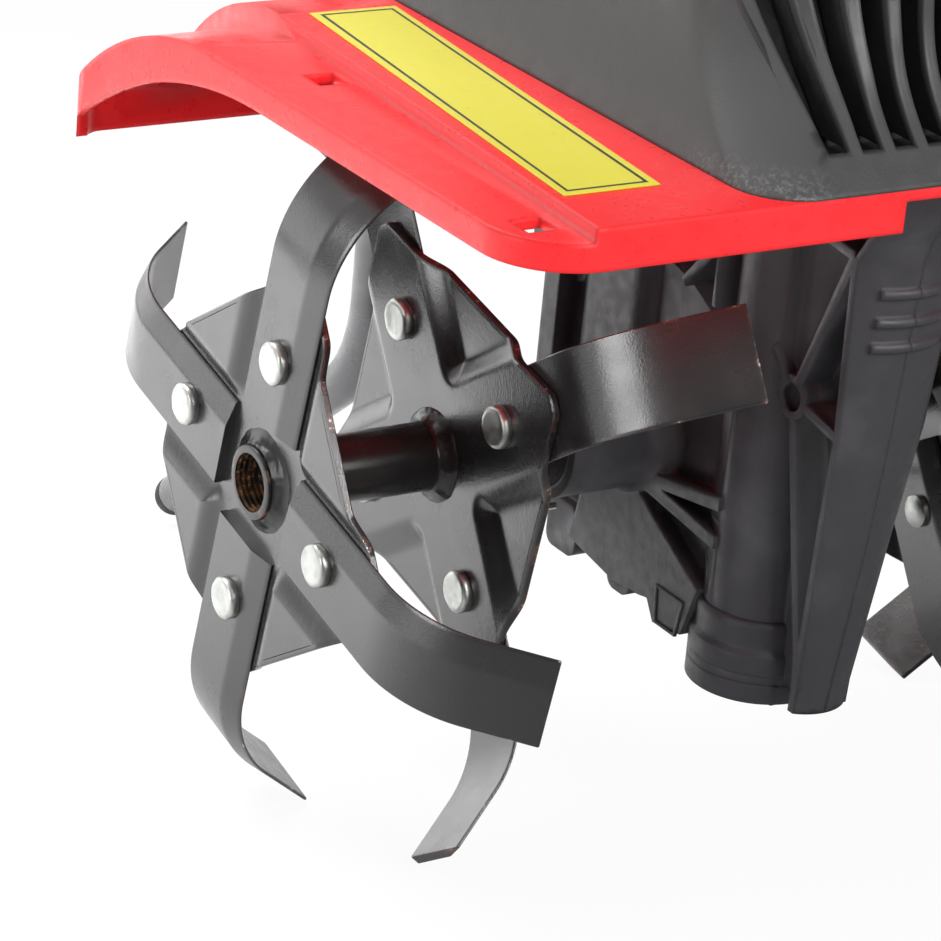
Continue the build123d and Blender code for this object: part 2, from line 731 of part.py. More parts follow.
def nose():
    """The prow of the gear case: a bowed skin, wider towards the top, that sweeps out to the guard."""
    sections = []
    for up, edge, front in NOSE_PROFILE:
        half = nose_half(up)
        rear = edge - NOSE_SKIN
        corners = [spot(-half, edge, up), spot(-half, rear, up), spot(half, rear, up), spot(half, edge, up)]
        edges = [Edge.make_line(first, second) for first, second in zip(corners, corners[1:])]
        edges.append(Edge.make_three_point_arc(corners[3], spot(0, front, up), corners[0]))
        sections.append(Wire(edges))
    return Solid.make_loft(sections, True)


def grip_ribs():
    """Three low ribs across the nose's front."""
    ribs = []
    for up in GRIP_RIB_HEIGHTS:
        (low, low_edge, low_front), (high, high_edge, high_front) = NOSE_PROFILE[2:4]
        share = (up - low) / (high - low)
        front = low_front + (high_front - low_front) * share
        bow = front - low_edge - (high_edge - low_edge) * share
        side = front - bow * (GRIP_RIB_HALF / nose_half(up)) ** 2
        ends = [spot(x, side, up) for x in (-GRIP_RIB_HALF, GRIP_RIB_HALF)]
        path = Wire([Edge.make_three_point_arc(ends[0], spot(0, front, up), ends[1])])
        ribs.append(wire_rod(path, GRIP_RIB_RADIUS))
    return ribs


def truss_space():
    """The room between the nose's side edges, which the truss ribs fill up to its slanted faces."""
    ends = []
    for up in (NOSE_BOTTOM, CASE_TOP):
        half = nose_half(up)
        corners = [(-half, 40), (half, 40), (half, 130), (-half, 130)]
        ends.append(Wire.make_polygon([spot(x, forward, up) for x, forward in corners]))
    return Solid.make_loft(ends, True)


def truss_ribs():
    """The ribs that tie the nose to the worm tube, flush with the nose's edges."""
    space = truss_space()
    runs = [
        (TRUSS_BOSS, TRUSS_FOOT),
        (TRUSS_BOSS, TRUSS_SHOULDER),
        (TRUSS_BOSS, (94.0, 31.5)),
        (TRUSS_BOSS, (62.0, 47.5)),
        (TRUSS_SHOULDER, (66.0, 89.0)),
        (TRUSS_FOOT, (82.5, -57.0)),
    ]
    ribs = [strip(start, end, RIB_WIDTH, -NOSE_TOP_HALF, NOSE_TOP_HALF) for start, end in runs]
    return [rib.intersect(space).solid() for rib in ribs]


def case_ribs():
    """The ribs, bulges and raised panels on both faces of the gear case."""
    fan = [((14, -11), (50, -5)), ((14, -13), (50, -17)), ((10, -19), (44, -36))]
    upper = [((36, 50), (36, CASE_TOP - 3)), ((20, 52), (34, 68))]
    ribs = [strip(start, end, FAN_RIB_WIDTH, -FAN_RIB_HALF, FAN_RIB_HALF) for start, end in fan]
    ribs += [strip(start, end, RIB_WIDTH, -UPPER_RIB_HALF, UPPER_RIB_HALF) for start, end in upper]
    panel = [(-22, -45), (3, -49), (21, -47), (25, -53), (39, -51), (44, -36), (12, -17), (-16, -20)]
    wall = [(WORM_FORWARD, 40), (72, 42), (94, 86), (94, CASE_TOP - 3), (WORM_FORWARD, CASE_TOP - 3)]
    plates = [
        side_plate(panel, -FAN_RIB_HALF, FAN_RIB_HALF),
        side_plate(wall, -TRUSS_WALL_HALF, TRUSS_WALL_HALF),
    ]
    return ribs + plates + [wheel_bulge()] + case_lumps()


def wheel_bulge():
    """The rounded bulge that rises over the worm wheel to the top flange."""
    bulge = block(-BULGE_HALF, BULGE_HALF, BULGE_REAR, BULGE_FRONT, BULGE_BOTTOM, CASE_TOP - 1)
    return bulge.fillet(BULGE_CORNER, bulge.edges().filter_by(Axis.Z))


def case_lumps():
    """The two rounded feet of the case's lower rear edge."""
    lumps = [
        block(-LUMP_HALF, LUMP_HALF, -37, -21, -53, -37),
        block(-LUMP_HALF, LUMP_HALF, -3, 9, -53, -43),
    ]
    return [lump.fillet(LUMP_CORNER, lump.edges().filter_by(Axis.X)) for lump in lumps]


def case_blank():
    """The outside of the whole gear case."""
    outline = [
        (CASE_REAR, CASE_TOP), (CASE_REAR, RIM_BOTTOM), (-40, -36), (0, -52), (33, -54), (80, -54),
        (84, -48), (92, 0), (95, 32), (97, 84), (97, CASE_TOP),
    ]
    step = LOWER_HOUSING_RADIUS - LOWER_HOUSING_STEP
    solids = [
        rod_x(WHEEL_HOUSING_RADIUS, -WHEEL_HOUSING_HALF, WHEEL_HOUSING_HALF),
        rod_x(BOSS_RADIUS, -BOSS_END, BOSS_END),
        rod_z(WORM_TUBE_RADIUS, LOWER_HOUSING_TOP, CASE_TOP),
        rod_z(step, LOWER_HOUSING_MIDDLE, LOWER_HOUSING_TOP),
        rod_z(LOWER_HOUSING_RADIUS, LOWER_HOUSING_BOTTOM, LOWER_HOUSING_MIDDLE),
        block(-RIM_HALF_WIDTH, RIM_HALF_WIDTH, CASE_REAR, CASE_REAR + RIM_DEPTH, RIM_BOTTOM, CASE_TOP),
        block(-TOP_FLANGE_HALF, TOP_FLANGE_HALF, CASE_REAR, TOP_FLANGE_FRONT, flange_under(), CASE_TOP),
        nose(),
    ]
    for side in (-1, 1):
        root = spot(side * WHEEL_HOUSING_HALF, 0, 0)
        solids.append(cone(BOSS_ROOT_RADIUS, BOSS_RADIUS, root, root + Vector(side * BOSS_ROOT_LENGTH, 0, 0)))
    solids += case_ribs() + truss_ribs() + grip_ribs()
    solids += [rod_x(CASE_BOSS_RADIUS, -CASE_BOSS_HALF, CASE_BOSS_HALF, f, u) for f, u in CASE_SCREW_SPOTS]
    return join(side_plate(outline, -CASE_WEB, CASE_WEB), *solids)


def flange_under():
    """The height of the top flange's underside."""
    return CASE_TOP - TOP_FLANGE_HEIGHT


def case_cavities():
    """The rooms inside the gear case and all its holes."""
    tools = [
        rod_x(WHEEL_CAVITY_RADIUS, -WHEEL_CAVITY_HALF, WHEEL_CAVITY_HALF),
        rod_x(BUSH_RADIUS, -BOSS_END + SEAL_LENGTH, BOSS_END - SEAL_LENGTH),
        rod_x(SEAL_RADIUS, -BOSS_END - 1, -BOSS_END + SEAL_LENGTH),
        rod_x(SEAL_RADIUS, BOSS_END - SEAL_LENGTH, BOSS_END + 1),
        rod_z(WORM_CAVITY_RADIUS, WORM_ROOM_BOTTOM, WORM_ROOM_TOP),
        rod_z(SHAFT_ROOM_RADIUS, LOWER_BEARING_TOP, WORM_ROOM_BOTTOM),
        rod_z(LOWER_BEARING_RADIUS, LOWER_HOUSING_BOTTOM - 1, LOWER_BEARING_TOP),
        rod_z(SHAFT_ROOM_RADIUS, WORM_ROOM_TOP, CASE_TOP),
        rod_z(UPPER_BEARING_RADIUS, CASE_TOP - UPPER_BEARING_DEPTH, CASE_TOP + 1),
    ]
    hole = CASE_SCREW_RADIUS + HOLE_CLEARANCE
    tools += [rod_x(hole, -CASE_SCREW_TIP - 0.5, FAR, f, u) for f, u in CASE_SCREW_SPOTS]
    tools += [rod_x(CASE_SCREW_HEAD + 0.7, CASE_BOSS_HALF, FAR, f, u) for f, u in CASE_SCREW_SPOTS]
    tools.append(rod_x(BOSS_RECESS_RADIUS, -FAR, BOSS_RECESS_DEPTH - CASE_BOSS_HALF, *TRUSS_BOSS))
    arm_hole = ARM_BOLT_RADIUS + HOLE_CLEARANCE
    arm_hole_end = CASE_REAR + ARM_BOLT_GRIP + 2
    tools += [rod(arm_hole, spot(x, CASE_REAR - 1, u), spot(x, arm_hole_end, u)) for x, u in arm_bolt_spots()]
    flange_hole = MOTOR_SCREW_RADIUS + HOLE_CLEARANCE
    spots = HOOD_SCREW_SPOTS + motor_screw_spots()
    tools += [rod_z(flange_hole, flange_under() - 4, CASE_TOP + 1, x, f) for x, f in spots]
    cap_hole = CAP_SCREW_RADIUS + HOLE_CLEARANCE
    bottom = LOWER_HOUSING_BOTTOM
    tools += [rod_z(cap_hole, bottom - 1, bottom + CAP_SCREW_GRIP + 1, x, f) for x, f in cap_screw_spots()]
    return tools


def gear_case_halves():
    """The right and left half of the gear case."""
    whole = case_blank().cut(*case_cavities())
    right = whole.intersect(block(-FAR, 0, -FAR, FAR, -FAR, FAR)).solids().sort_by(SortBy.VOLUME)[-1]
    left = whole.intersect(block(0, FAR, -FAR, FAR, -FAR, FAR)).solids().sort_by(SortBy.VOLUME)[-1]
    return right, left


def motor_screw_spots():
    reach = MOTOR_SCREW_OFFSET
    return tuple((x, WORM_FORWARD + y) for x in (-reach, reach) for y in (-reach, reach))


def cap_screw_spots():
    reach = CAP_SCREW_OFFSET
    return tuple((x, WORM_FORWARD + y) for x in (-reach, reach) for y in (-reach, reach))


def arm_bolt_spots():
    return tuple((x, up) for x in (-ARM_BOLT_X, ARM_BOLT_X) for up in ARM_BOLT_HEIGHTS)


def screw(radius, head_radius, head_height, head_face, tip):
    """A screw from its head's underside to its tip."""
    way = (tip - head_face).normalized()
    return join(rod(head_radius, head_face - way * head_height, head_face), rod(radius, head_face, tip))


def case_screws():
    ends = [(spot(CASE_BOSS_HALF, f, u), spot(-CASE_SCREW_TIP, f, u)) for f, u in CASE_SCREW_SPOTS]
    return group([screw(CASE_SCREW_RADIUS, CASE_SCREW_HEAD, SCREW_HEAD_HEIGHT, *end) for end in ends])


def bearing_cap():
    """The cap under the worm, drawn out to the nose."""
    top = LOWER_HOUSING_BOTTOM
    bottom = top - BEARING_CAP_HEIGHT
    disc = rod_z(LOWER_HOUSING_RADIUS, bottom, top)
    root = CAP_TONGUE_ROOT_HALF
    end = CAP_TONGUE_END_HALF
    plan = [(-root, WORM_FORWARD), (root, WORM_FORWARD), (end, CAP_TONGUE), (-end, CAP_TONGUE)]
    tongue = flat_plate(plan, bottom, top)
    hole = CAP_SCREW_RADIUS + HOLE_CLEARANCE
    tools = [rod_z(hole, bottom - 1, top + 1, x, f) for x, f in cap_screw_spots()]
    head_room = CAP_SCREW_HEAD + HOLE_CLEARANCE
    tools += [rod_z(head_room, bottom - 1, bottom + CAP_SCREW_SINK, x, f) for x, f in cap_screw_spots()]
    return cut(join(disc, tongue), *tools)


def cap_screws():
    face = LOWER_HOUSING_BOTTOM - BEARING_CAP_HEIGHT + CAP_SCREW_SINK
    tip = LOWER_HOUSING_BOTTOM + CAP_SCREW_GRIP
    ends = [(spot(x, f, face), spot(x, f, tip)) for x, f in cap_screw_spots()]
    return group([screw(CAP_SCREW_RADIUS, CAP_SCREW_HEAD, CAP_SCREW_HEAD_HEIGHT, *end) for end in ends])


def ring_z(outer, inner, up_from, up_to):
    return cut(rod_z(outer, up_from, up_to), rod_z(inner, up_from - 1, up_to + 1))


def ring_x(outer, inner, x_from, x_to):
    return cut(rod_x(outer, x_from, x_to), rod_x(inner, x_from - 1, x_to + 1))


def worm_bearings():
    fit = RUNNING_CLEARANCE
    upper = CASE_TOP - UPPER_BEARING_DEPTH
    top = TOP_BRACKET_BOTTOM + TOP_BEARING_FLOOR
    return group(
        [
            ring_z(LOWER_BEARING_RADIUS, WORM_TAIL_RADIUS + fit, LOWER_HOUSING_BOTTOM + 2, LOWER_BEARING_TOP),
            ring_z(UPPER_BEARING_RADIUS, SHAFT_RADIUS + fit, upper, upper + UPPER_BEARING_LENGTH),
            ring_z(TOP_BEARING_RADIUS, SHAFT_TOP_RADIUS + fit, top, TOP_BRACKET_TOP + 2),
        ]
    )


def axle_bushes():
    inner = AXLE_RADIUS + RUNNING_CLEARANCE
    return group(both_sides(ring_x(BUSH_RADIUS, inner, -BOSS_END + SEAL_LENGTH, -WHEEL_CAVITY_HALF - 0.5)))


def axle_seals():
    inner = AXLE_RADIUS + RUNNING_CLEARANCE
    return group(both_sides(ring_x(SEAL_RADIUS, inner, -BOSS_END, -BOSS_END + SEAL_LENGTH)))


def guard_profile(top, arc_start, arc_radius, inset, x_from, x_to):
    """The guard's form seen from the side, flat in front and arched down at the rear."""
    radius = arc_radius - inset
    front = GUARD_FRONT - inset
    rear = GUARD_REAR + inset
    center_up = top - arc_radius
    end_angle = math.asin((arc_start - rear) / radius)

    def on_arc(angle):
        return spot(x_from, arc_start - radius * math.sin(angle), center_up + radius * math.cos(angle))

    corners = [spot(x_from, rear, 0), spot(x_from, front, 0), spot(x_from, front, top - inset), on_arc(0)]
    edges = [Edge.make_line(first, second) for first, second in zip(corners, corners[1:])]
    edges.append(Edge.make_three_point_arc(on_arc(0), on_arc(end_angle / 2), on_arc(end_angle)))
    edges.append(Edge.make_line(on_arc(end_angle), corners[0]))
    return Solid.extrude(Face(Wire(edges)), Vector(x_to - x_from, 0, 0))


def guard_form(inset):
    """The guard's outer form, or its inner form with an inset: wings, deck and the motor's seat."""
    half = GUARD_HALF_WIDTH - inset
    wing = guard_profile(GUARD_WING_TOP, GUARD_WING_ARC_START, GUARD_WING_ARC_RADIUS, inset, -half, half)
    deck = guard_profile(GUARD_TOP, GUARD_DECK_ARC_START, GUARD_DECK_ARC_RADIUS, inset, -half, half)
    front_half = GUARD_DECK_FRONT_HALF - inset
    rear_half = GUARD_DECK_REAR_HALF - inset
    deck_plan = [
        (-front_half, GUARD_FRONT), (front_half, GUARD_FRONT),
        (rear_half, GUARD_REAR), (-rear_half, GUARD_REAR),
    ]
    deck = deck.intersect(flat_plate(deck_plan, 0, GUARD_TOP + 1)).solid()
    seat_half = PLATFORM_HALF - inset
    seat = block(-seat_half, seat_half, PLATFORM_REAR + inset, 0, 0, GUARD_TOP - inset)
    front_end = (-FAR, GUARD_FRONT - inset, GUARD_CORNER)
    rear_end = (GUARD_REAR + inset, FAR, GUARD_REAR_CORNER)
    form = join(wing, deck, seat)
    for rear, front, corner in (front_end, rear_end):
        plan = hood_outline(half, rear, front, corner - inset, 0)
        form = form.intersect(Solid.extrude(Face(plan), Vector(0, 0, GUARD_TOP + 1))).solid()
    return form


def below_skirt():
    """What lies under the guard's lower edge: level in front, arched at the sides, lowest at the rear."""
    center_up = GUARD_EDGE - GUARD_SKIRT_RADIUS
    wall_front = GUARD_REAR + 2 * GUARD_WALL
    front_room = block(-FAR, FAR, 0, FAR, -1, GUARD_EDGE)
    arch = rod_x(GUARD_SKIRT_RADIUS, -FAR, FAR, 0, center_up)
    arch_room = arch.intersect(block(-FAR, FAR, wall_front, 0, -1, FAR)).solid()
    return [front_room, arch_room, block(-FAR, FAR, -FAR, wall_front, -1, GUARD_REAR_EDGE)]


def guard():
    under = GUARD_TOP - GUARD_WALL
    tools = below_skirt() + [
        guard_form(GUARD_WALL),
        rod_z(SHAFT_OPENING, 0, FAR),
        block(-GUARD_NOTCH_HALF, GUARD_NOTCH_HALF, LIP_NOTCH_REAR, FAR, 0, under),
        block(-ARM_NOTCH_HALF, ARM_NOTCH_HALF, -FAR, PLATFORM_REAR + GUARD_WALL, 0, ARM_NOTCH_TOP),
    ]
    hole = MOTOR_SCREW_RADIUS + HOLE_CLEARANCE
    tools += [rod_z(hole, 0, FAR, x, f) for x, f in HOOD_SCREW_SPOTS + motor_screw_spots()]
    size = GUARD_HOLE_HALF
    for x, forward in GUARD_HOLE_SPOTS:
        tools += both_sides(block(x - size, x + size, forward - size, forward + size, 0, FAR))
    return cut(guard_form(0.0), *tools)


def sticker():
    """A blank sticker on the right side of the guard's deck, in line with its edge."""
    return flat_plate(STICKER_OUTLINE, GUARD_TOP, GUARD_TOP + STICKER_THICKNESS)


def hood_outline(half, rear, front, radius, up):
    """A rounded rectangle at a height of the hood."""
    sketch = RectangleRounded(2 * half, front - rear, radius)
    return (Pos(0, -(front + rear) / 2, up) * sketch).face().outer_wire()


HOOD_LEVELS = (
    (80, -75, 135, 17, GUARD_TOP),
    (77.5, -74.5, 129, 22, GUARD_TOP + 6),
    (69, -72, 115, 34, GUARD_TOP + 22),
    (62.5, -68, 109, 44, 158),
    (58, -56, 108, 48, 195),
    (55, -48, 106, 48, HOOD_TOP),
)


def hood_loft(inset, levels):
    """The hood's outside, or its inside with an inset."""
    wires = []
    for half, rear, front, radius, up in levels:
        wires.append(hood_outline(half - inset, rear + inset, front - inset, radius - inset, up))
    return Solid.make_loft(wires)


def hood_end(level, up, height):
    """A short plug that opens the hood at one of its ends."""
    half, rear, front, radius, _ = level
    wall = HOOD_WALL
    outline = hood_outline(half - wall, rear + wall, front - wall, radius - wall, up)
    return Solid.extrude(Face(outline), Vector(0, 0, height))


def motor_hood():
    """The hood over the motor, with louvres in front and the bosses of its screws."""
    inside = hood_loft(HOOD_WALL, HOOD_LEVELS)
    inner_space = hood_loft(HOOD_WALL / 3, HOOD_LEVELS)
    openings = [hood_end(HOOD_LEVELS[0], GUARD_TOP - 1, 2), hood_end(HOOD_LEVELS[-1], HOOD_TOP - 1, 5)]
    shell = hood_loft(0, HOOD_LEVELS).cut(inside, *openings).solids().sort_by(SortBy.VOLUME)[-1]
    solids = []
    holes = []
    hole = HOOD_SCREW_RADIUS + HOLE_CLEARANCE
    for x, forward in HOOD_SCREW_SPOTS:
        solids.append(rod_z(HOOD_BOSS_RADIUS, GUARD_TOP, GUARD_TOP + HOOD_BOSS_HEIGHT, x, forward))
        near, far = sorted((x, 4 * x))
        bridge = block(near, far, forward - 2, forward + 2, GUARD_TOP, GUARD_TOP + HOOD_SCREW_GRIP)
        solids.append(bridge.intersect(inner_space).solid())
        holes.append(rod_z(hole, GUARD_TOP - 1, GUARD_TOP + HOOD_SCREW_GRIP + 1, x, forward))
    for x, forward in CAP_SCREW_SPOTS:
        boss = rod_z(HOOD_BOSS_RADIUS, HOOD_TOP - CAP_SCREW_LENGTH + 4, HOOD_TOP, x, forward)
        solids.append(boss.intersect(inner_space).solid())
        holes.append(rod_z(hole, HOOD_TOP - CAP_SCREW_LENGTH + 6, HOOD_TOP + 1, x, forward))
    return cut(join(cut(shell, *louvres()), *solids), *holes)


def louvres():
    """The slots in the front of the hood."""
    count = LOUVRE_COUNT // 2
    half = LOUVRE_SLOT / 2
    middles = [number * LOUVRE_PITCH for number in range(-count, count + 1)]
    return [block(x - half, x + half, STATOR_RADIUS + 30, FAR, LOUVRE_BOTTOM, LOUVRE_TOP) for x in middles]


def guard_screws():
    """The screws from the case's flange through the guard into the hood."""
    tip = GUARD_TOP + HOOD_SCREW_GRIP
    ends = [(spot(x, f, flange_under()), spot(x, f, tip)) for x, f in HOOD_SCREW_SPOTS]
    return group([screw(HOOD_SCREW_RADIUS, HOOD_SCREW_HEAD, SCREW_HEAD_HEIGHT, *end) for end in ends])


CAP_LEVELS = (
    (55, -48, 106, 48, HOOD_TOP),
    (54, -47, 105, 47.5, HOOD_TOP + 8),
    (48, -40, 98, 44, HOOD_TOP + 20),
    (36, -26, 84, 34, HOOD_TOP + 27),
)


def motor_cap():
    """The domed cover on top of the hood."""
    inside_levels = [level[:4] + (max(level[4] - HOOD_WALL, HOOD_TOP),) for level in CAP_LEVELS]
    outside = hood_loft(0, CAP_LEVELS)
    shell = outside.cut(hood_loft(HOOD_WALL, inside_levels)).solids().sort_by(SortBy.VOLUME)[-1]
    posts = [rod_z(HOOD_BOSS_RADIUS, HOOD_TOP, HOOD_TOP + 40, x, f) for x, f in CAP_SCREW_SPOTS]
    posts = [post.intersect(outside).solid() for post in posts]
    seat = HOOD_TOP + CAP_SCREW_SEAT
    hole = MOTOR_SCREW_RADIUS + HOLE_CLEARANCE
    head_room = HOOD_SCREW_HEAD + HOLE_CLEARANCE
    tools = [rod_z(hole, HOOD_TOP - 1, FAR + HOOD_TOP, x, f) for x, f in CAP_SCREW_SPOTS]
    tools += [rod_z(head_room, seat, FAR + HOOD_TOP, x, f) for x, f in CAP_SCREW_SPOTS]
    tools.append(rod(GLAND_RADIUS, spot(0, -FAR, GLAND_UP), spot(0, GLAND_FRONT + 12, GLAND_UP)))
    return cut(join(shell, *posts), *tools)


def motor_cap_screws():
    """The screws that hold the cap on the hood."""
    face = HOOD_TOP + CAP_SCREW_SEAT
    ends = [(spot(x, f, face), spot(x, f, face - CAP_SCREW_LENGTH)) for x, f in CAP_SCREW_SPOTS]
    return group([screw(HOOD_SCREW_RADIUS, HOOD_SCREW_HEAD - 0.2, SCREW_HEAD_HEIGHT, *end) for end in ends])


def motor_base():
    """The lower motor bracket with the posts of the stator."""
    plate = rod_z(MOTOR_BASE_RADIUS, GUARD_TOP, MOTOR_BASE_TOP)
    posts = [rod_z(POST_RADIUS, MOTOR_BASE_TOP, STATOR_BOTTOM, x, WORM_FORWARD + y) for x, y in post_spots()]
    hole = MOTOR_SCREW_RADIUS + HOLE_CLEARANCE
    holes = [rod_z(hole, 0, STATOR_BOTTOM, x, f) for x, f in motor_screw_spots()]
    return cut(join(plate, *posts), rod_z(SHAFT_OPENING, 0, STATOR_BOTTOM), *holes)


def post_spots():
    return tuple((x, y) for x in (-POST_X, POST_X) for y in (-POST_Y, POST_Y))


def motor_screws():
    ends = [(spot(x, f, MOTOR_BASE_TOP), spot(x, f, flange_under())) for x, f in motor_screw_spots()]
    return group([screw(MOTOR_SCREW_RADIUS, MOTOR_SCREW_HEAD, SCREW_HEAD_HEIGHT, *end) for end in ends])


def coil(side):
    """One field coil, a frame around its pole."""
    near, far = sorted((WORM_FORWARD + side * COIL_NEAR, WORM_FORWARD + side * COIL_FAR))
    frame = block(-COIL_HALF, COIL_HALF, near, far, STATOR_BOTTOM - COIL_OVERHANG, STATOR_TOP + COIL_OVERHANG)
    return cut(frame, block(-COIL_POLE_HALF, COIL_POLE_HALF, near - 1, far + 1, STATOR_BOTTOM, STATOR_TOP))


def stator():
    stack = ring_z(STATOR_RADIUS, STATOR_BORE, STATOR_BOTTOM, STATOR_TOP)
    return cut(stack, coil(1), coil(-1))


def top_bracket():
    """The upper motor bracket, on posts that stand on the stator."""
    plate = rod_z(STATOR_RADIUS, TOP_BRACKET_BOTTOM, TOP_BRACKET_TOP)
    seat = rod_z(TOP_BEARING_RADIUS + 3, TOP_BRACKET_TOP, TOP_BRACKET_TOP + 2)
    posts = [rod_z(POST_RADIUS, STATOR_TOP, TOP_BRACKET_BOTTOM, x, WORM_FORWARD + y) for x, y in post_spots()]
    bore = rod_z(TOP_BEARING_RADIUS, TOP_BRACKET_BOTTOM + TOP_BEARING_FLOOR, TOP_BRACKET_TOP + 3)
    return cut(join(plate, seat, *posts), bore, rod_z(SHAFT_RADIUS + 1, STATOR_TOP, TOP_BRACKET_TOP))


def brush_holders():
    rear = WORM_FORWARD - BRUSH_HALF
    front = WORM_FORWARD + BRUSH_HALF
    near = -COMMUTATOR_RADIUS - BRUSH_GAP
    return group(both_sides(block(-BRUSH_END, near, rear, front, BRUSH_BOTTOM, TOP_BRACKET_BOTTOM)))


def around_shaft(solid, count):
    """Copies of a solid turned about the motor shaft."""
    axis = Axis(spot(0, WORM_FORWARD, 0), (0, 0, 1))
    return [solid.rotate(axis, 360.0 / count * number) for number in range(count)]


def armature():
    body = rod_z(ARMATURE_RADIUS, STATOR_BOTTOM, STATOR_TOP)
    floor = WORM_FORWARD + ARMATURE_RADIUS - SLOT_DEPTH
    slot = block(-SLOT_HALF, SLOT_HALF, floor, floor + 2 * SLOT_DEPTH, STATOR_BOTTOM - 1, STATOR_TOP + 1)
    shaft_hole = rod_z(SHAFT_RADIUS, STATOR_BOTTOM - 1, STATOR_TOP + 1)
    return cut(body, shaft_hole, *around_shaft(slot, ARMATURE_SLOTS))


def commutator():
    return ring_z(COMMUTATOR_RADIUS, SHAFT_RADIUS, COMMUTATOR_BOTTOM, COMMUTATOR_TOP)


def fan():
    """The cooling fan under the stator."""
    deck = FAN_BOTTOM + FAN_DISC
    disc = rod_z(FAN_RADIUS, FAN_BOTTOM, deck)
    hub = rod_z(FAN_HUB_RADIUS, deck, FAN_TOP)
    root = WORM_FORWARD + FAN_HUB_RADIUS - 1
    blade = block(-BLADE_HALF, BLADE_HALF, root, WORM_FORWARD + FAN_RADIUS, deck, FAN_TOP)
    shaft_hole = rod_z(SHAFT_RADIUS, FAN_BOTTOM - 1, FAN_TOP + 1)
    return cut(join(disc, hub, *around_shaft(blade, FAN_BLADES)), shaft_hole)


def cable_gland():
    """The entry of the motor lead, left open."""
    body = rod(GLAND_RADIUS, spot(0, GLAND_FRONT, GLAND_UP), spot(0, GLAND_REAR, GLAND_UP))
    collar = rod(GLAND_COLLAR, spot(0, GLAND_COLLAR_FRONT, GLAND_UP), spot(0, GLAND_COLLAR_REAR, GLAND_UP))
    bore = rod(GLAND_BORE, spot(0, GLAND_FRONT + 2, GLAND_UP), spot(0, GLAND_REAR - 2, GLAND_UP))
    return cut(join(body, collar), bore)


def rear_arm():
    """The arm behind the gear case with the sleeve of the drag bar and the handle's saddle."""
    face = CASE_REAR - ARM_FLANGE
    width = RIM_HALF_WIDTH
    flange = block(-width, width, face, CASE_REAR, ARM_FLANGE_BOTTOM, ARM_FLANGE_TOP)
    root = CASE_REAR - ARM_FLANGE / 2
    side = [(root, 96), (root, 52), (BAR_FORWARD, 70), (BAR_FORWARD, 112)]
    beam = side_plate(side, -ARM_HALF, ARM_HALF)
    saddle = clamp_block(SADDLE_BOTTOM, TUBE_UP)
    sleeve = rod_z(SLEEVE_RADIUS, SLEEVE_BOTTOM, SLEEVE_TOP, 0.0, BAR_FORWARD)
    knob_hole = KNOB_SCREW_RADIUS + HOLE_CLEARANCE
    tools = [
        rod_z(BAR_RADIUS + RUNNING_CLEARANCE, 0, FAR, 0.0, BAR_FORWARD),
        rod_x(TUBE_RADIUS, -FAR, FAR, TUBE_FORWARD, TUBE_UP),
        rod(knob_hole, spot(0, BAR_FORWARD, knob_up()), spot(0, BAR_FORWARD - 40, knob_up())),
    ]
    bolt_hole = ARM_BOLT_RADIUS + HOLE_CLEARANCE
    for x, up in arm_bolt_spots():
        tools.append(rod(bolt_hole, spot(x, CASE_REAR + 1, up), spot(x, CASE_REAR - 60, up)))
        tools.append(rod(ARM_BOLT_ROOM, spot(x, face, up), spot(x, face - 22, up)))
    clamp_hole = CLAMP_BOLT_RADIUS + HOLE_CLEARANCE
    tools += [rod_z(clamp_hole, SLEEVE_BOTTOM, TUBE_UP + 17, x, f) for x, f in clamp_bolt_spots()]
    return cut(join(flange, beam, saddle, sleeve), *tools)


def clamp_block(up_from, up_to):
    """A block as wide and deep as the handle's clamp."""
    rear = TUBE_FORWARD - CLAMP_HALF
    front = TUBE_FORWARD + CLAMP_HALF
    return block(-CLAMP_HALF_WIDTH, CLAMP_HALF_WIDTH, rear, front, up_from, up_to)


def knob_up():
    return (SLEEVE_BOTTOM + SLEEVE_TOP) / 2 + 10


def clamp_bolt_spots():
    reach = CLAMP_BOLT_OFFSET
    return tuple((x, TUBE_FORWARD + y) for x in (-CLAMP_BOLT_X, CLAMP_BOLT_X) for y in (-reach, reach))


def arm_bolts():
    face = CASE_REAR - ARM_FLANGE
    ends = [(spot(x, face, u), spot(x, CASE_REAR + ARM_BOLT_GRIP, u)) for x, u in arm_bolt_spots()]
    return group([screw(ARM_BOLT_RADIUS, ARM_BOLT_HEAD, ARM_BOLT_HEAD_HEIGHT, *end) for end in ends])


def handle_clamp():
    """The upper half of the handle's clamp."""
    cap = clamp_block(TUBE_UP + CLAMP_GAP, TUBE_UP + CLAMP_HEIGHT)
    hole = CLAMP_BOLT_RADIUS + HOLE_CLEARANCE
    holes = [rod_z(hole, TUBE_UP, TUBE_UP + 2 * CLAMP_HEIGHT, x, f) for x, f in clamp_bolt_spots()]
    return cut(cap, rod_x(TUBE_RADIUS, -FAR, FAR, TUBE_FORWARD, TUBE_UP), *holes)


def clamp_bolts():
    top = TUBE_UP + CLAMP_HEIGHT
    ends = [(spot(x, f, top), spot(x, f, top - CLAMP_BOLT_LENGTH)) for x, f in clamp_bolt_spots()]
    return group([screw(CLAMP_BOLT_RADIUS, CLAMP_BOLT_HEAD, SCREW_HEAD_HEIGHT, *end) for end in ends])


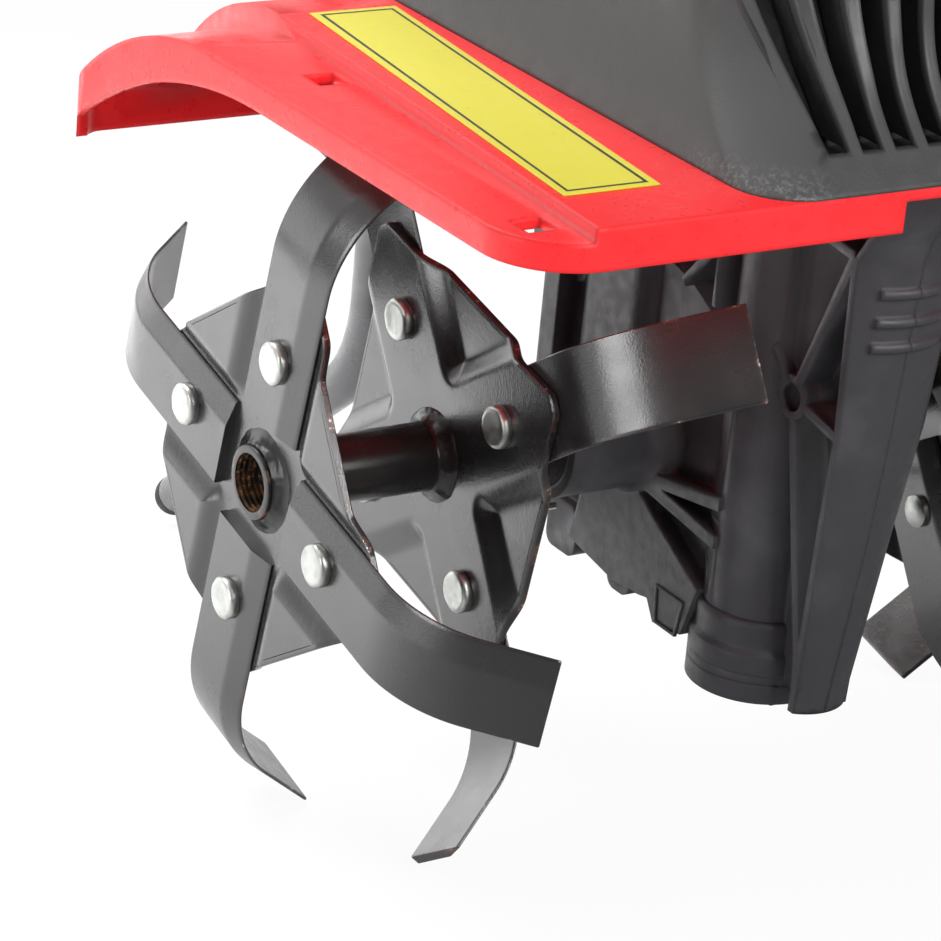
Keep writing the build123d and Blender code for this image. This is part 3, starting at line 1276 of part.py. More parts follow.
def drag_bar():
    """The bent bar that drags behind and holds the machine up at rest."""
    turn = math.radians(BAR_BEND_ANGLE)

    def on_bend(angle):
        return spot(
            0,
            BAR_FORWARD - BAR_BEND_RADIUS * (1 - math.cos(angle)),
            BAR_BEND_START - BAR_BEND_RADIUS * math.sin(angle),
        )

    top = spot(0, BAR_FORWARD, BAR_TOP)
    way = spot(0, -math.sin(turn), -math.cos(turn))
    path = Wire(
        [
            Edge.make_line(top, on_bend(0)),
            Edge.make_three_point_arc(on_bend(0), on_bend(turn / 2), on_bend(turn)),
            Edge.make_line(on_bend(turn), on_bend(turn) + way * BAR_TAIL),
        ]
    )
    return wire_rod(path, BAR_RADIUS), on_bend(turn) + way * BAR_TAIL, way


def bar_foot(end, way):
    """The round cap on the drag bar's lower end."""
    middle = end + way * FOOT_LENGTH
    cap = join(rod(BAR_RADIUS, end, middle), Solid.make_sphere(BAR_RADIUS, Plane(origin=middle)))
    return cut(cap, rod(BAR_RADIUS + 1, end - way * 2 * BAR_RADIUS, end))


def star_knob(center, way, radius, length):
    """A knob with lobes, its underside at the centre."""
    body = rod(radius * KNOB_BODY_SHARE, center, center + way * length)
    side = Plane(origin=center, z_dir=way)
    lobe = radius * KNOB_LOBE_SHARE
    reach = radius - lobe
    lobes = []
    for number in range(KNOB_LOBES):
        turn = math.radians(360 / KNOB_LOBES * number)
        middle = center + side.x_dir * math.cos(turn) * reach + side.y_dir * math.sin(turn) * reach
        lobes.append(rod(lobe, middle, middle + way * length * KNOB_LOBE_HEIGHT_SHARE))
    return join(body, *lobes)


def bar_knob():
    """The knob whose screw clamps the drag bar in its sleeve."""
    back = spot(0, -1, 0)
    face = spot(0, BAR_FORWARD - SLEEVE_RADIUS - BAR_KNOB_GAP, knob_up())
    screw_tip = spot(0, BAR_FORWARD - BAR_RADIUS - KNOB_GAP, knob_up())
    return join(star_knob(face, back, BAR_KNOB_RADIUS, KNOB_HEIGHT), rod(KNOB_SCREW_RADIUS, screw_tip, face))


def tube_along(points, bend):
    """A bent tube along a path of points."""
    path = FilletPolyline(points, radius=bend).wire()
    return wire_rod(path, TUBE_RADIUS).cut(wire_rod(path, TUBE_RADIUS - TUBE_WALL)).solid()


def handle_way():
    """The way the handle's legs rise to the rear."""
    rise = math.radians(HANDLE_RISE)
    return spot(0, -math.cos(rise), math.sin(rise))


def leg_point(x, run):
    return spot(x, TUBE_FORWARD, TUBE_UP) + handle_way() * run


def lower_handle():
    ends = LOWER_HALF_WIDTH
    path = [leg_point(-ends, LOWER_LEG), leg_point(-ends, 0), leg_point(ends, 0), leg_point(ends, LOWER_LEG)]
    return cut(tube_along(path, LOWER_BEND), fold_hole(FOLD_BOLT_RADIUS + HOLE_CLEARANCE))


def fold_hole(radius):
    """A tool for the holes of the fold bolts, right through."""
    center = leg_point(0, LOWER_LEG - FOLD_FROM_END)
    return rod(radius, center - Vector(FAR, 0, 0), center + Vector(FAR, 0, 0))


def upper_handle():
    start = LOWER_LEG - 2 * FOLD_FROM_END
    end = start + UPPER_LEG
    half = UPPER_HALF_WIDTH
    path = [leg_point(-half, start), leg_point(-half, end), leg_point(half, end), leg_point(half, start)]
    return cut(tube_along(path, UPPER_BEND), fold_hole(FOLD_BOLT_RADIUS + RUNNING_CLEARANCE))


def fold_bolts():
    """The two bolts of the fold, heads inside."""
    run = LOWER_LEG - FOLD_FROM_END
    inside = LOWER_HALF_WIDTH - TUBE_RADIUS
    end = UPPER_HALF_WIDTH + TUBE_RADIUS + FOLD_BOLT_OVER
    ends = (leg_point(inside, run), leg_point(end, run))
    bolt = screw(FOLD_BOLT_RADIUS, FOLD_BOLT_HEAD, FOLD_BOLT_HEAD_HEIGHT, *ends)
    return group(both_sides(bolt))


def fold_knob():
    """The right fold knob."""
    run = LOWER_LEG - FOLD_FROM_END
    face = leg_point(-UPPER_HALF_WIDTH - TUBE_RADIUS - KNOB_GAP, run)
    knob = star_knob(face, Vector(-1, 0, 0), FOLD_KNOB_RADIUS, KNOB_HEIGHT)
    depth = FOLD_BOLT_OVER + 0.2
    hole = rod(FOLD_BOLT_RADIUS + RUNNING_CLEARANCE, face + Vector(1, 0, 0), face - Vector(depth, 0, 0))
    return cut(knob, hole)


def top_point(x, along=0.0, over=0.0):
    """A point near the top of the upper handle: along its legs and square to them."""
    end = leg_point(x, LOWER_LEG - 2 * FOLD_FROM_END + UPPER_LEG)
    return end + handle_way() * along + handle_over() * over


def grips():
    """Soft sleeves on both ends of the cross bar."""
    grip = cut(
        rod(GRIP_RADIUS, top_point(-GRIP_OUTER), top_point(-GRIP_INNER)),
        rod(TUBE_RADIUS, top_point(-GRIP_OUTER - 8), top_point(8 - GRIP_INNER)),
    )
    return group(both_sides(grip))


def handle_block(x_from, x_to, along_from, along_to, over_from, over_to):
    """A box in line with the upper handle's legs."""
    frame = Plane(origin=top_point(x_from, along_from, over_from), x_dir=(1, 0, 0), z_dir=handle_over())
    return Solid.make_box(x_to - x_from, along_to - along_from, over_to - over_from, frame)


def handle_over():
    """The way square to the handle's legs, towards its upper side."""
    way = handle_way()
    return Vector(0, -way.Z, way.Y)


def box_block(bottom, top, wall=0.0):
    """A box with the switch box's plan, or its room with a wall."""
    rear = ROOM_REAR if wall else BOX_REAR
    return handle_block(wall - BOX_HALF, BOX_HALF - wall, BOX_FRONT + wall, rear, bottom, top)


def lid_screw_holes():
    radius = LID_SCREW_RADIUS + HOLE_CLEARANCE
    high = BOX_TOP + 1
    return [rod(radius, top_point(x, along), top_point(x, along, high)) for x, along in LID_SCREW_SPOTS]


def lead_rod(radius, front, rear):
    """A round bar along the motor lead's way into the box."""
    return rod(radius, top_point(LEAD_X, front), top_point(LEAD_X, rear))


def inlet_block(front, rear):
    """A block in the place of the inlet."""
    height = INLET_HALF_HEIGHT
    return handle_block(INLET_X - INLET_HALF, INLET_X + INLET_HALF, front, rear, -height, height)


def switch_box():
    """The lower part of the switch box, around the cross bar."""
    room = box_block(BOX_BOTTOM + BOX_WALL, BOX_SPLIT + 1, BOX_WALL)
    bar_hole = rod(TUBE_RADIUS, top_point(-2 * BOX_HALF), top_point(2 * BOX_HALF))
    pivot_hole = rod(PIVOT_RADIUS + RUNNING_CLEARANCE, lever_pivot(-2 * BOX_HALF), lever_pivot(2 * BOX_HALF))
    inlet_hole = inlet_block(INLET_FRONT - 4, INLET_REAR + 2)
    gland_hole = lead_rod(LEAD_RADIUS, LEAD_FRONT, LEAD_REAR + 4)
    body = box_block(BOX_BOTTOM, BOX_SPLIT)
    return cut(body, room, bar_hole, pivot_hole, inlet_hole, gland_hole, *lid_screw_holes())


def lever_pivot(x):
    return top_point(x, PIVOT_ALONG, PIVOT_OVER)


def button_rod(radius, low, high):
    return rod(radius, top_point(0, BUTTON_ALONG, low), top_point(0, BUTTON_ALONG, high))


def switch_lid():
    room = box_block(BOX_SPLIT - 1, BOX_TOP - LID_WALL, BOX_WALL + LID_WALL)
    button_hole = button_rod(BUTTON_RADIUS + RUNNING_CLEARANCE, BOX_SPLIT, BOX_TOP + 1)
    return cut(box_block(BOX_SPLIT, BOX_TOP), room, button_hole, *lid_screw_holes())


def lid_screws():
    ends = [(top_point(x, a, BOX_TOP), top_point(x, a, LID_SCREW_TIP)) for x, a in LID_SCREW_SPOTS]
    return group([screw(LID_SCREW_RADIUS, LID_SCREW_HEAD, LID_SCREW_HEAD_HEIGHT, *end) for end in ends])


def safety_button():
    """The button that unlocks the lever, held in by its flange."""
    flange = button_rod(BUTTON_RADIUS + BUTTON_FLANGE, BUTTON_BOTTOM, BUTTON_SHOULDER)
    return join(button_rod(BUTTON_RADIUS, BUTTON_SHOULDER, BUTTON_TOP), flange)


def lever_bar(x):
    """A point of the lever's bar, released."""
    angle = math.radians(LEVER_ANGLE)
    way = handle_way() * math.cos(angle) - handle_over() * math.sin(angle)
    return lever_pivot(x) + way * LEVER_LENGTH


def switch_lever():
    """The lever under the grips, on two pivots in the box."""
    root = lever_pivot(-LEVER_ARM_X)
    bar = rod(LEVER_RADIUS, lever_bar(-LEVER_HALF), lever_bar(LEVER_HALF))
    arm = rod(LEVER_ARM_RADIUS, root, lever_bar(-LEVER_ARM_X))
    pivot = rod(PIVOT_RADIUS, root, lever_pivot(-PIVOT_X))
    knuckle = Solid.make_sphere(LEVER_ARM_RADIUS, Plane(origin=root))
    return join(bar, *both_sides(arm), *both_sides(pivot), *both_sides(knuckle))


def micro_switch():
    floor = BOX_BOTTOM + BOX_WALL
    return handle_block(-SWITCH_HALF, SWITCH_HALF, SWITCH_FRONT, SWITCH_REAR, floor, SWITCH_TOP)


def inlet_plug():
    """The inlet for an extension lead: a base in the box's front wall with two pins."""
    tip = INLET_FRONT - INLET_PIN_LENGTH
    middles = (INLET_X - INLET_PIN_OFFSET, INLET_X + INLET_PIN_OFFSET)
    pins = [rod(INLET_PIN_RADIUS, top_point(x, INLET_FRONT), top_point(x, tip)) for x in middles]
    return join(inlet_block(INLET_FRONT, INLET_REAR), *pins)


def lead_gland():
    """The entry of the motor lead into the box, left open."""
    body = lead_rod(LEAD_RADIUS, LEAD_FRONT, LEAD_REAR)
    return cut(body, lead_rod(LEAD_BORE, LEAD_FRONT - 4, LEAD_REAR + 4))


def main():
    right_case, left_case = gear_case_halves()
    bar, bar_end, bar_way = drag_bar()
    leaning = {
        "gear_case_right": right_case,
        "gear_case_left": left_case,
        "bearing_cap": bearing_cap(),
        "case_screws": case_screws(),
        "cap_screws": cap_screws(),
        "worm_bearings": worm_bearings(),
        "axle_bushes": axle_bushes(),
        "axle_seals": axle_seals(),
        "guard": guard(),
        "sticker": sticker(),
        "motor_hood": motor_hood(),
        "guard_screws": guard_screws(),
        "motor_cap": motor_cap(),
        "motor_cap_screws": motor_cap_screws(),
        "motor_base": motor_base(),
        "motor_screws": motor_screws(),
        "stator": stator(),
        "field_coils": group([coil(1), coil(-1)]),
        "top_bracket": top_bracket(),
        "brush_holders": brush_holders(),
        "armature": armature(),
        "commutator": commutator(),
        "fan": fan(),
        "worm_shaft": worm_shaft(),
        "worm_wheel": worm_wheel(),
        "wheel_key": key_block(),
        "axle": axle(),
        "cable_gland": cable_gland(),
        "rear_arm": rear_arm(),
        "arm_bolts": arm_bolts(),
        "handle_clamp": handle_clamp(),
        "clamp_bolts": clamp_bolts(),
        "drag_bar": bar,
        "bar_foot": bar_foot(bar_end, bar_way),
        "bar_knob": bar_knob(),
        "lower_handle": lower_handle(),
        "upper_handle": upper_handle(),
        "fold_bolts": fold_bolts(),
        "fold_knob_right": fold_knob(),
        "fold_knob_left": fold_knob().mirror(Plane.YZ),
        "grips": grips(),
        "switch_box": switch_box(),
        "switch_lid": switch_lid(),
        "lid_screws": lid_screws(),
        "safety_button": safety_button(),
        "switch_lever": switch_lever(),
        "micro_switch": micro_switch(),
        "inlet_plug": inlet_plug(),
        "lead_gland": lead_gland(),
    }
    upright = {
        "hub_tubes": group(both_sides(hub_tube())),
        "outer_plates": group(both_sides(star_plate(OUTER_PLATE_FACE - PLATE_THICKNESS, OUTER_STAR_ANGLES))),
        "inner_plates": group(both_sides(star_plate(-INNER_PLATE_FACE, INNER_STAR_ANGLES))),
        "rivets": group([copy for one in rivets() for copy in both_sides(one)]),
        "cross_pins": group(both_sides(cross_pin())),
        "hairpins": group(both_sides(hairpin())),
    }
    for name, tines in (("outer_tines", outer_tines()), ("inner_tines", inner_tines())):
        upright[name + "_right"] = group(tines)
        upright[name + "_left"] = group([one.mirror(Plane.YZ) for one in tines])
    placed = {name: Rot(REST_PITCH, 0, 0) * shape for name, shape in leaning.items()}
    placed.update(upright)
    box = Compound(list(placed.values())).bounding_box()
    lift = Pos(0, -(box.min.Y + box.max.Y) / 2, -box.min.Z)
    os.makedirs("parts", exist_ok=True)
    for name, shape in placed.items():
        export_step(lift * shape, f"parts/{name}.step")
    print("axle at", lift.position)
    print("size", box.size)


main()
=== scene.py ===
"""The looks of the mini tiller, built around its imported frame."""

import json
import math

import bmesh
import bpy
from mathutils import Matrix, Vector, noise
from mathutils.bvhtree import BVHTree

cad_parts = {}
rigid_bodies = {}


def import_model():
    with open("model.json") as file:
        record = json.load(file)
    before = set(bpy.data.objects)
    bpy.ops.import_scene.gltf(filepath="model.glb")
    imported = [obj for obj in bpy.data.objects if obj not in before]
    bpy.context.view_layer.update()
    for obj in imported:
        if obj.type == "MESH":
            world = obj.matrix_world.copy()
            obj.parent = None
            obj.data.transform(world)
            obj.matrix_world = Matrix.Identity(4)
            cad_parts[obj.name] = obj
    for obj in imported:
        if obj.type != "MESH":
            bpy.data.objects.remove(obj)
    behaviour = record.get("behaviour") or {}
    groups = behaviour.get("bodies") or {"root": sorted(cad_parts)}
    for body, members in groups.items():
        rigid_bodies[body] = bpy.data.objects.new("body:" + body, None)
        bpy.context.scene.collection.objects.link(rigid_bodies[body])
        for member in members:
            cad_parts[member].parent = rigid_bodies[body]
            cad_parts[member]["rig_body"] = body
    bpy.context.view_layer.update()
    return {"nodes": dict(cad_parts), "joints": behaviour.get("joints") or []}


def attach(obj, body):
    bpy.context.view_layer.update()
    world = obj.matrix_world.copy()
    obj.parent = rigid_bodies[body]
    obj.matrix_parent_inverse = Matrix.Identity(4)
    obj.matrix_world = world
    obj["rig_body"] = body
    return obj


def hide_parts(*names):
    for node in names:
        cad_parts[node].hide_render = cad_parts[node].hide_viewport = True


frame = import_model()
NODES = frame["nodes"]
JOINTS = {joint["name"]: joint for joint in frame["joints"]}

# The machine's own frame: x across, forward and up, in millimetres from the middle of the axle
MM = 0.001
AXLE = Vector(JOINTS["tine_spin"]["pos_m"])
SHAFT_WAY = Vector(JOINTS["motor_spin"]["axis"])
PITCH = math.atan2(-SHAFT_WAY.y, SHAFT_WAY.z)
FORWARD = Vector((0, -math.cos(PITCH), -math.sin(PITCH)))
UP = Vector((0, -math.sin(PITCH), math.cos(PITCH)))

# The right tine set is modelled as it lies, and the left one is its mirror image
SIDES = (1, -1)

# Tines; a bend has a way, 1 towards the middle of the machine and -1 away from it
TINE_WIDTH = 27.5
TINE_THICKNESS = 3.0
TINE_ROOT = 19.5
TINE_BEND_START = 68.0
TINE_BEND_RADIUS = 40.0
TINE_TIP_LENGTH = 20.5
TINE_TIP_SHARE = 0.97
TINE_BEVEL = 8.0
TINE_EDGE = 0.8
TINE_EASE = 0.35
TINE_BEVEL_EDGES = (-1, -1, 1, 1)
OUTER_TINE_BENDS = (50.0, 50.0, 50.0, 50.0)
INNER_TINE_BENDS = (50.0, 56.0, 50.0, 56.0)
OUTER_TINE_WAYS = (1, 1, 1, 1)
INNER_TINE_WAYS = (-1, 1, -1, 1)
OUTER_STAR_ANGLES = (68.0, 158.0, -112.0, -22.0)
INNER_STAR_ANGLES = (113.6, 23.6, -66.4, 203.6)

# Wear of the tines: along the edges, less at the bevel's flat corner, full at the tip, less at the root
EDGE_WEAR_WIDTH = 1.3
BEVEL_WEAR = 0.25
TIP_WEAR = (0.0, 0.0, 0.35, 0.9, 1.0)
TIP_WEAR_PLACES = (1.4, 0.35, 0.0)
ROOT_WEAR = 0.55
WEAR_GAIN = 0.45
WEAR_REACH = 110.0

# Pressed plates of the stars
PLATE_THICKNESS = 2.5
PLATE_HALF_SIDE = 50.0
PLATE_CORNER_TRIM = 68.0
PLATE_EASE = 0.5
PLATE_RIM_START = 1.6
PLATE_RIM_FALL = 0.06
POCKET_DEPTH = 4.0
POCKET_EDGE = 14.2
POCKET_SLOPE = 9.0
POCKET_CORNER = 8.0
OUTER_PLATE_FACE = 140.3
INNER_PLATE_FACE = 84.9

# Rivets; the outlines of head and tail are shares of their radius and height, from the outside in
RIVET_CIRCLE = 40.0
RIVET_HEAD_RADIUS = 6.25
RIVET_HEAD_HEIGHT = 3.0
RIVET_DISH_SHARE = 0.97
RIVET_HEAD_SHARES = (
    (0.5, 0.975), (0.68, 1.0), (0.78, 1.0), (0.87, 0.965),
    (0.94, 0.86), (0.985, 0.7), (1.0, 0.5), (0.99, 0.2),
)
RIVET_FOOT_SHARE = 0.96
RIVET_SHANK_RADIUS = 3.2
RIVET_TAIL_RADIUS = 5.0
RIVET_TAIL_HEIGHT = 2.5
RIVET_TAIL_SHARES = ((1.0, 0.0), (1.0, 0.6), (0.7, 0.95))
RIVET_RAGGED = 0.22
RAGGED_WAVES = 2.5
RAGGED_DRIFT = 0.3
RAGGED_RADIUS = 6.0
OUTER_RIVET_SEED = 0.13
INNER_RIVET_SEED = 0.17
HAIR = 0.05

# Hub tubes; the end ring's corner is given as steps back and down
HUB_RADIUS = 10.0
HUB_BORE = 8.4
HUB_OUTER_END = 144.5
HUB_INNER_END = 51.5
HUB_MOUTH_EASE = 0.4
HUB_TAIL_EASE = 0.7
HUB_TAIL_RADIUS = 9.4
END_RING_RISE = 0.8
END_RING_LENGTH = 1.3
END_RING_CORNER = ((0.0, 0.6), (0.15, 0.2), (0.5, 0.0))
END_RING_WEAR = 0.45
BORE_STEP = 0.6
BORE_GAP = 0.02
GROOVE_DEPTH = 0.12
GROOVE_TURNS = 2.2
GROOVE_REACH = 20.0

# Weld beads of the plates, with lumps and ripples
WELD_RADIUS = 15.0
WELD_LENGTH = 3.5
WELD_LUMP = 0.55
WELD_LUMP_SCALE = 2.1
WELD_RIPPLE = 0.45
WELD_RIPPLE_SCALE = 7.0
WELD_DRIFT = 0.2
WELD_START = 3
WELD_WEAR = 0.12

# Sticker and its border line, as x and forward
STICKER_OUTLINE = ((-111, -43), (-83, -43), (-97, 112), (-126, 112))
STICKER_EASE = 0.1
BORDER_FOOT = 120.43
BORDER_HEIGHT = 0.03
BORDER_INSET = 2.2
BORDER_WIDTH = 0.9

# Hood: its height, half width, front and corner radius at each level, and where its corner is scuffed
HOOD_LEVELS = (
    (120, 80, 135, 17),
    (126, 77.5, 129, 22),
    (142, 69, 115, 34),
    (158, 62.5, 109, 44),
    (195, 58, 108, 48),
)
HOOD_BOTTOM = HOOD_LEVELS[0][0]
SCUFF_FORWARD = 88.0
SCUFF_SIDE = -50.0

# Fins behind the hood's slots, and the tray behind the fins; the fins' darker plastic and the near-black
# tray are painted shade
LOUVRE_COUNT = 11
LOUVRE_PITCH = 10.5
LOUVRE_BOTTOM = 128.0
LOUVRE_TOP = 190.0
FIN_HALF = 1.3
FIN_DEPTH = 13.0
FIN_SETBACK = 1.8
FIN_END_GAP = 0.5
FIN_STEPS = 12
TRAY_DEPTH = 15.0
TRAY_GAP = 3.4
TRAY_WALL = 1.0
TRAY_SHELF = LOUVRE_BOTTOM - 2.0
TRAY_ROWS = (TRAY_SHELF, 142, 158, 175, LOUVRE_TOP + 3.0)
TRAY_STEP = 3.0
TRAY_HALF_STEPS = 19

# Collar of the worm tube as radius and height: the tube's bead, the waist and the foot's bead
WORM_FORWARD = 52.0
COLLAR_BEAD = ((17.5, -36.0), (18.2, -36.1), (19.0, -36.6), (19.5, -37.6), (19.6, -38.8), (19.45, -40.2))
COLLAR_WAIST = ((19.3, -42.0), (19.3, -44.4), (19.6, -45.2))
COLLAR_FOOT = ((20.3, -45.7), (20.65, -46.5), (20.7, -47.6), (20.6, -49.2), (20.55, -52.4), (19.5, -52.6))

# Latch outline on the right case half, as forward and up
LATCH_FACE = -18.5
LATCH_HEIGHT = 1.0
LATCH_OUTER = ((26.0, -52.5), (37.0, -52.5), (39.5, -40.5), (25.0, -40.5))
LATCH_INNER = ((26.9, -51.6), (36.3, -51.6), (38.4, -41.4), (26.0, -41.4))

# Rounded edges: angles in degrees, widths in millimetres, and how a width shrinks from try to try
SMOOTH_ANGLE = 38.0
CRISP_ANGLE = 28.0
FLAT_ANGLE = 0.2
SAME_SPOT = 0.001
SMALLEST_EASE = 0.02
EASE_SHRINK = 0.6
SAME_WAY = 0.3

# Finishes: how strongly baked coats and the guard mirror, and the span that holds most of a noise
COAT_IOR = 1.9
GUARD_IOR = 1.42
NOISE_LOW = 0.3
NOISE_HIGH = 0.7

# The side of the room that the light comes from: behind, on the machine's right, and a little from above
LIGHT_SIDE = Vector((-0.35, 0.94, 0.0))
LIGHT_RISE = Vector((0, 0, 0.3))
FLOOR_HALF = 9.0

# Camera, from the axle
CAMERA_OFFSET = Vector((-0.6589, -0.9421, 0.2841))
CAMERA_BACK = Vector((-0.5115, -0.8211, 0.2533))
CAMERA_RIGHT = Vector((0.8488, -0.5287, 0.0))
CAMERA_LENS = 152.5
CAMERA_SENSOR = 36.0
CAMERA_NEAR = 0.05


def leaning(x, forward, up):
    """A point of the machine, which leans nose down."""
    return AXLE + Vector((x * MM, 0, 0)) + FORWARD * (forward * MM) + UP * (up * MM)


def upright(x, forward, up):
    """A point of the tine sets, which turn freely."""
    return AXLE + Vector((x, -forward, up)) * MM


def star_point(x, along, across, angle):
    """A point of a star: along a tine's axis and across it, the angle counted from forward to up."""
    turn = math.radians(angle)
    forward = along * math.cos(turn) - across * math.sin(turn)
    up = along * math.sin(turn) + across * math.cos(turn)
    return upright(x, forward, up)


def circle(count):
    """The angles of points that are spread evenly round a circle."""
    return [2 * math.pi * number / count for number in range(count)]


def toned(color, share, lift=0.0):
    """A colour made lighter or darker in all its channels."""
    return tuple(channel * share + lift for channel in color[:3]) + (1,)


class Nodes:
    """A tree of shader nodes. Its scales count features per metre, and its distances are in metres."""

    def __init__(self, tree, coordinates):
        self.tree = tree
        self.place = self.put("ShaderNodeTexCoord").outputs[coordinates]

    def put(self, kind, settings=None, **inputs):
        """A node with its settings; an input is a number, a colour or another node's output."""
        node = self.tree.nodes.new(kind)
        for key, value in (settings or {}).items():
            setattr(node, key, value)
        for key, value in inputs.items():
            self.fill(node.inputs[key.replace("_", " ")], value)
        return node

    def fill(self, socket, value):
        if isinstance(value, bpy.types.NodeSocket):
            self.tree.links.new(value, socket)
        else:
            socket.default_value = value

    def noise(self, scale, detail=2.0, roughness=0.5):
        node = self.put(
            "ShaderNodeTexNoise", Vector=self.place, Scale=scale, Detail=detail, Roughness=roughness
        )
        return node.outputs["Fac"]

    def cells(self, scale):
        return self.put("ShaderNodeTexVoronoi", Vector=self.place, Scale=scale).outputs["Distance"]

    def band(self, value, low, high, at_low=0.0, at_high=1.0):
        """Runs smoothly from one value to another as the input goes from low to high."""
        node = self.put(
            "ShaderNodeMapRange", {"interpolation_type": "SMOOTHSTEP"}, Value=value, From_Min=low,
            From_Max=high, To_Min=at_low, To_Max=at_high,
        )
        return node.outputs["Result"]

    def drift(self, scale, detail, low, high):
        """A value that drifts between two levels over the surface."""
        return self.band(self.noise(scale, detail), NOISE_LOW, NOISE_HIGH, low, high)

    def math(self, operation, first, second):
        node = self.put("ShaderNodeMath", {"operation": operation})
        self.fill(node.inputs[0], first)
        self.fill(node.inputs[1], second)
        return node.outputs["Value"]

    def times(self, first, second):
        return self.math("MULTIPLY", first, second)

    def plus(self, first, second):
        return self.math("ADD", first, second)

    def larger(self, first, second):
        return self.math("MAXIMUM", first, second)

    def mix(self, share, first, second):
        node = self.put("ShaderNodeMix", {"data_type": "RGBA"})
        self.fill(node.inputs["Factor"], share)
        self.fill(node.inputs[6], first)
        self.fill(node.inputs[7], second)
        return node.outputs[2]

    def attribute(self, name):
        return self.put("ShaderNodeAttribute", {"attribute_name": name}).outputs["Fac"]

    def along(self, axis, zero):
        """How far a point lies from a zero point along an axis."""
        offset = self.put("ShaderNodeVectorMath", {"operation": "SUBTRACT"})
        self.fill(offset.inputs[0], self.place)
        self.fill(offset.inputs[1], tuple(zero))
        product = self.put("ShaderNodeVectorMath", {"operation": "DOT_PRODUCT"})
        self.fill(product.inputs[0], offset.outputs["Vector"])
        self.fill(product.inputs[1], tuple(axis))
        return product.outputs["Value"]

    def bump(self, height, distance, strength, below=None):
        """Normals of a fine relief, on top of other normals where these are given."""
        node = self.put("ShaderNodeBump", Height=height, Distance=distance, Strength=strength)
        if below is not None:
            self.fill(node.inputs["Normal"], below)
        return node.outputs["Normal"]

    def rounded(self, radius):
        """Normals that run softly over edges and inner corners, as in a moulding."""
        return self.put("ShaderNodeBevel", {"samples": 6}, Radius=radius).outputs["Normal"]


class Surface(Nodes):
    """The nodes of one material around its principled shader."""

    def __init__(self, name):
        self.material = bpy.data.materials.new(name)
        self.material.use_nodes = True
        super().__init__(self.material.node_tree, "Object")
        self.shader = self.tree.nodes["Principled BSDF"]

    def finish(self, color, roughness, normal, metallic=0.0, ior=1.5):
        self.shader.inputs["IOR"].default_value = ior
        self.fill(self.shader.inputs["Base Color"], color)
        self.fill(self.shader.inputs["Roughness"], roughness)
        self.fill(self.shader.inputs["Metallic"], metallic)
        self.fill(self.shader.inputs["Normal"], normal)
        return self.material


def tine_coat():
    """Black satin coat with orange peel, thin brown wear on a few edges and bare steel at the tips."""
    black = (0.0125, 0.012, 0.0125, 1)
    dusty = (0.05, 0.048, 0.047, 1)
    pale = (0.1, 0.097, 0.094, 1)
    dark_rust = (0.03, 0.014, 0.009, 1)
    light_rust = (0.085, 0.042, 0.025, 1)
    steel = (0.5, 0.49, 0.47, 1)
    skin = Surface("tine_coat")
    chance = skin.band(skin.noise(150, 4), 0.36, 0.7, -0.85, 0.15)
    worn = skin.plus(skin.attribute("wear"), chance)
    brown = skin.band(worn, 0.6, 0.95)
    ragged = skin.band(skin.noise(900, 2), 0.35, 0.65, -0.3, 0.1)
    bare = skin.band(skin.plus(worn, ragged), 1.0, 1.15)
    dust = skin.times(skin.band(skin.noise(46, 5), 0.55, 0.8), 0.12)
    specks = skin.band(skin.cells(700), 0.05, 0.09, 0.5, 0.0)
    coat = skin.mix(specks, skin.mix(dust, black, dusty), pale)
    rust = skin.mix(skin.noise(420), dark_rust, light_rust)
    color = skin.mix(bare, skin.mix(brown, coat, rust), steel)
    peel = skin.bump(skin.noise(620, 1), 0.0001, 0.25)
    grain = skin.bump(skin.noise(1900, 2), 0.00008, 0.6, peel)
    return skin.finish(color, skin.drift(90, 3, 0.2, 0.28), grain, skin.times(bare, 0.85), COAT_IOR)


def tube_coat():
    """Glossy black paint on tubes and welds, a little brown where it is thin."""
    black = (0.011, 0.01, 0.01, 1)
    thin_brown = (0.03, 0.02, 0.015, 1)
    rust = (0.16, 0.07, 0.035, 1)
    skin = Surface("tube_coat")
    thin = skin.band(skin.noise(75, 4), 0.5, 0.8, 0.0, 0.5)
    worn = skin.plus(skin.attribute("wear"), skin.drift(260, 4, -0.5, 0.3))
    color = skin.mix(skin.band(worn, 0.6, 0.95), skin.mix(thin, black, thin_brown), rust)
    grain = skin.bump(skin.noise(500, 2), 0.0001, 0.12)
    return skin.finish(color, skin.drift(120, 3, 0.22, 0.28), grain)


def bar_coat():
    """Satin dark grey coat of the drag bar, rubbed paler by the ground."""
    dark = (0.045, 0.045, 0.05, 1)
    pale = (0.11, 0.11, 0.12, 1)
    skin = Surface("bar_coat")
    rubbed = skin.times(skin.band(skin.noise(70, 4), 0.5, 0.75), 0.35)
    grain = skin.bump(skin.noise(600, 2), 0.0001, 0.4)
    return skin.finish(skin.mix(rubbed, dark, pale), skin.drift(110, 3, 0.24, 0.36), grain, ior=COAT_IOR)


def rusty_bore():
    """Bare turned steel inside the hub, gone dark and rusty."""
    dark = (0.016, 0.011, 0.007, 1)
    rust = (0.2, 0.075, 0.022, 1)
    fresh_rust = (0.32, 0.17, 0.06, 1)
    skin = Surface("rusty_bore")
    patches = skin.noise(240, 5, 0.65)
    color = skin.mix(skin.band(patches, 0.42, 0.66), dark, rust)
    color = skin.mix(skin.band(skin.noise(900, 3), 0.58, 0.7), color, fresh_rust)
    rings = skin.put(
        "ShaderNodeTexWave", {"bands_direction": "X"}, Vector=skin.place, Scale=190.0, Distortion=1.5
    ).outputs["Fac"]
    rough = skin.band(patches, NOISE_LOW, NOISE_HIGH, 0.4, 0.8)
    return skin.finish(color, rough, skin.bump(rings, 0.0003, 0.7), 0.2)


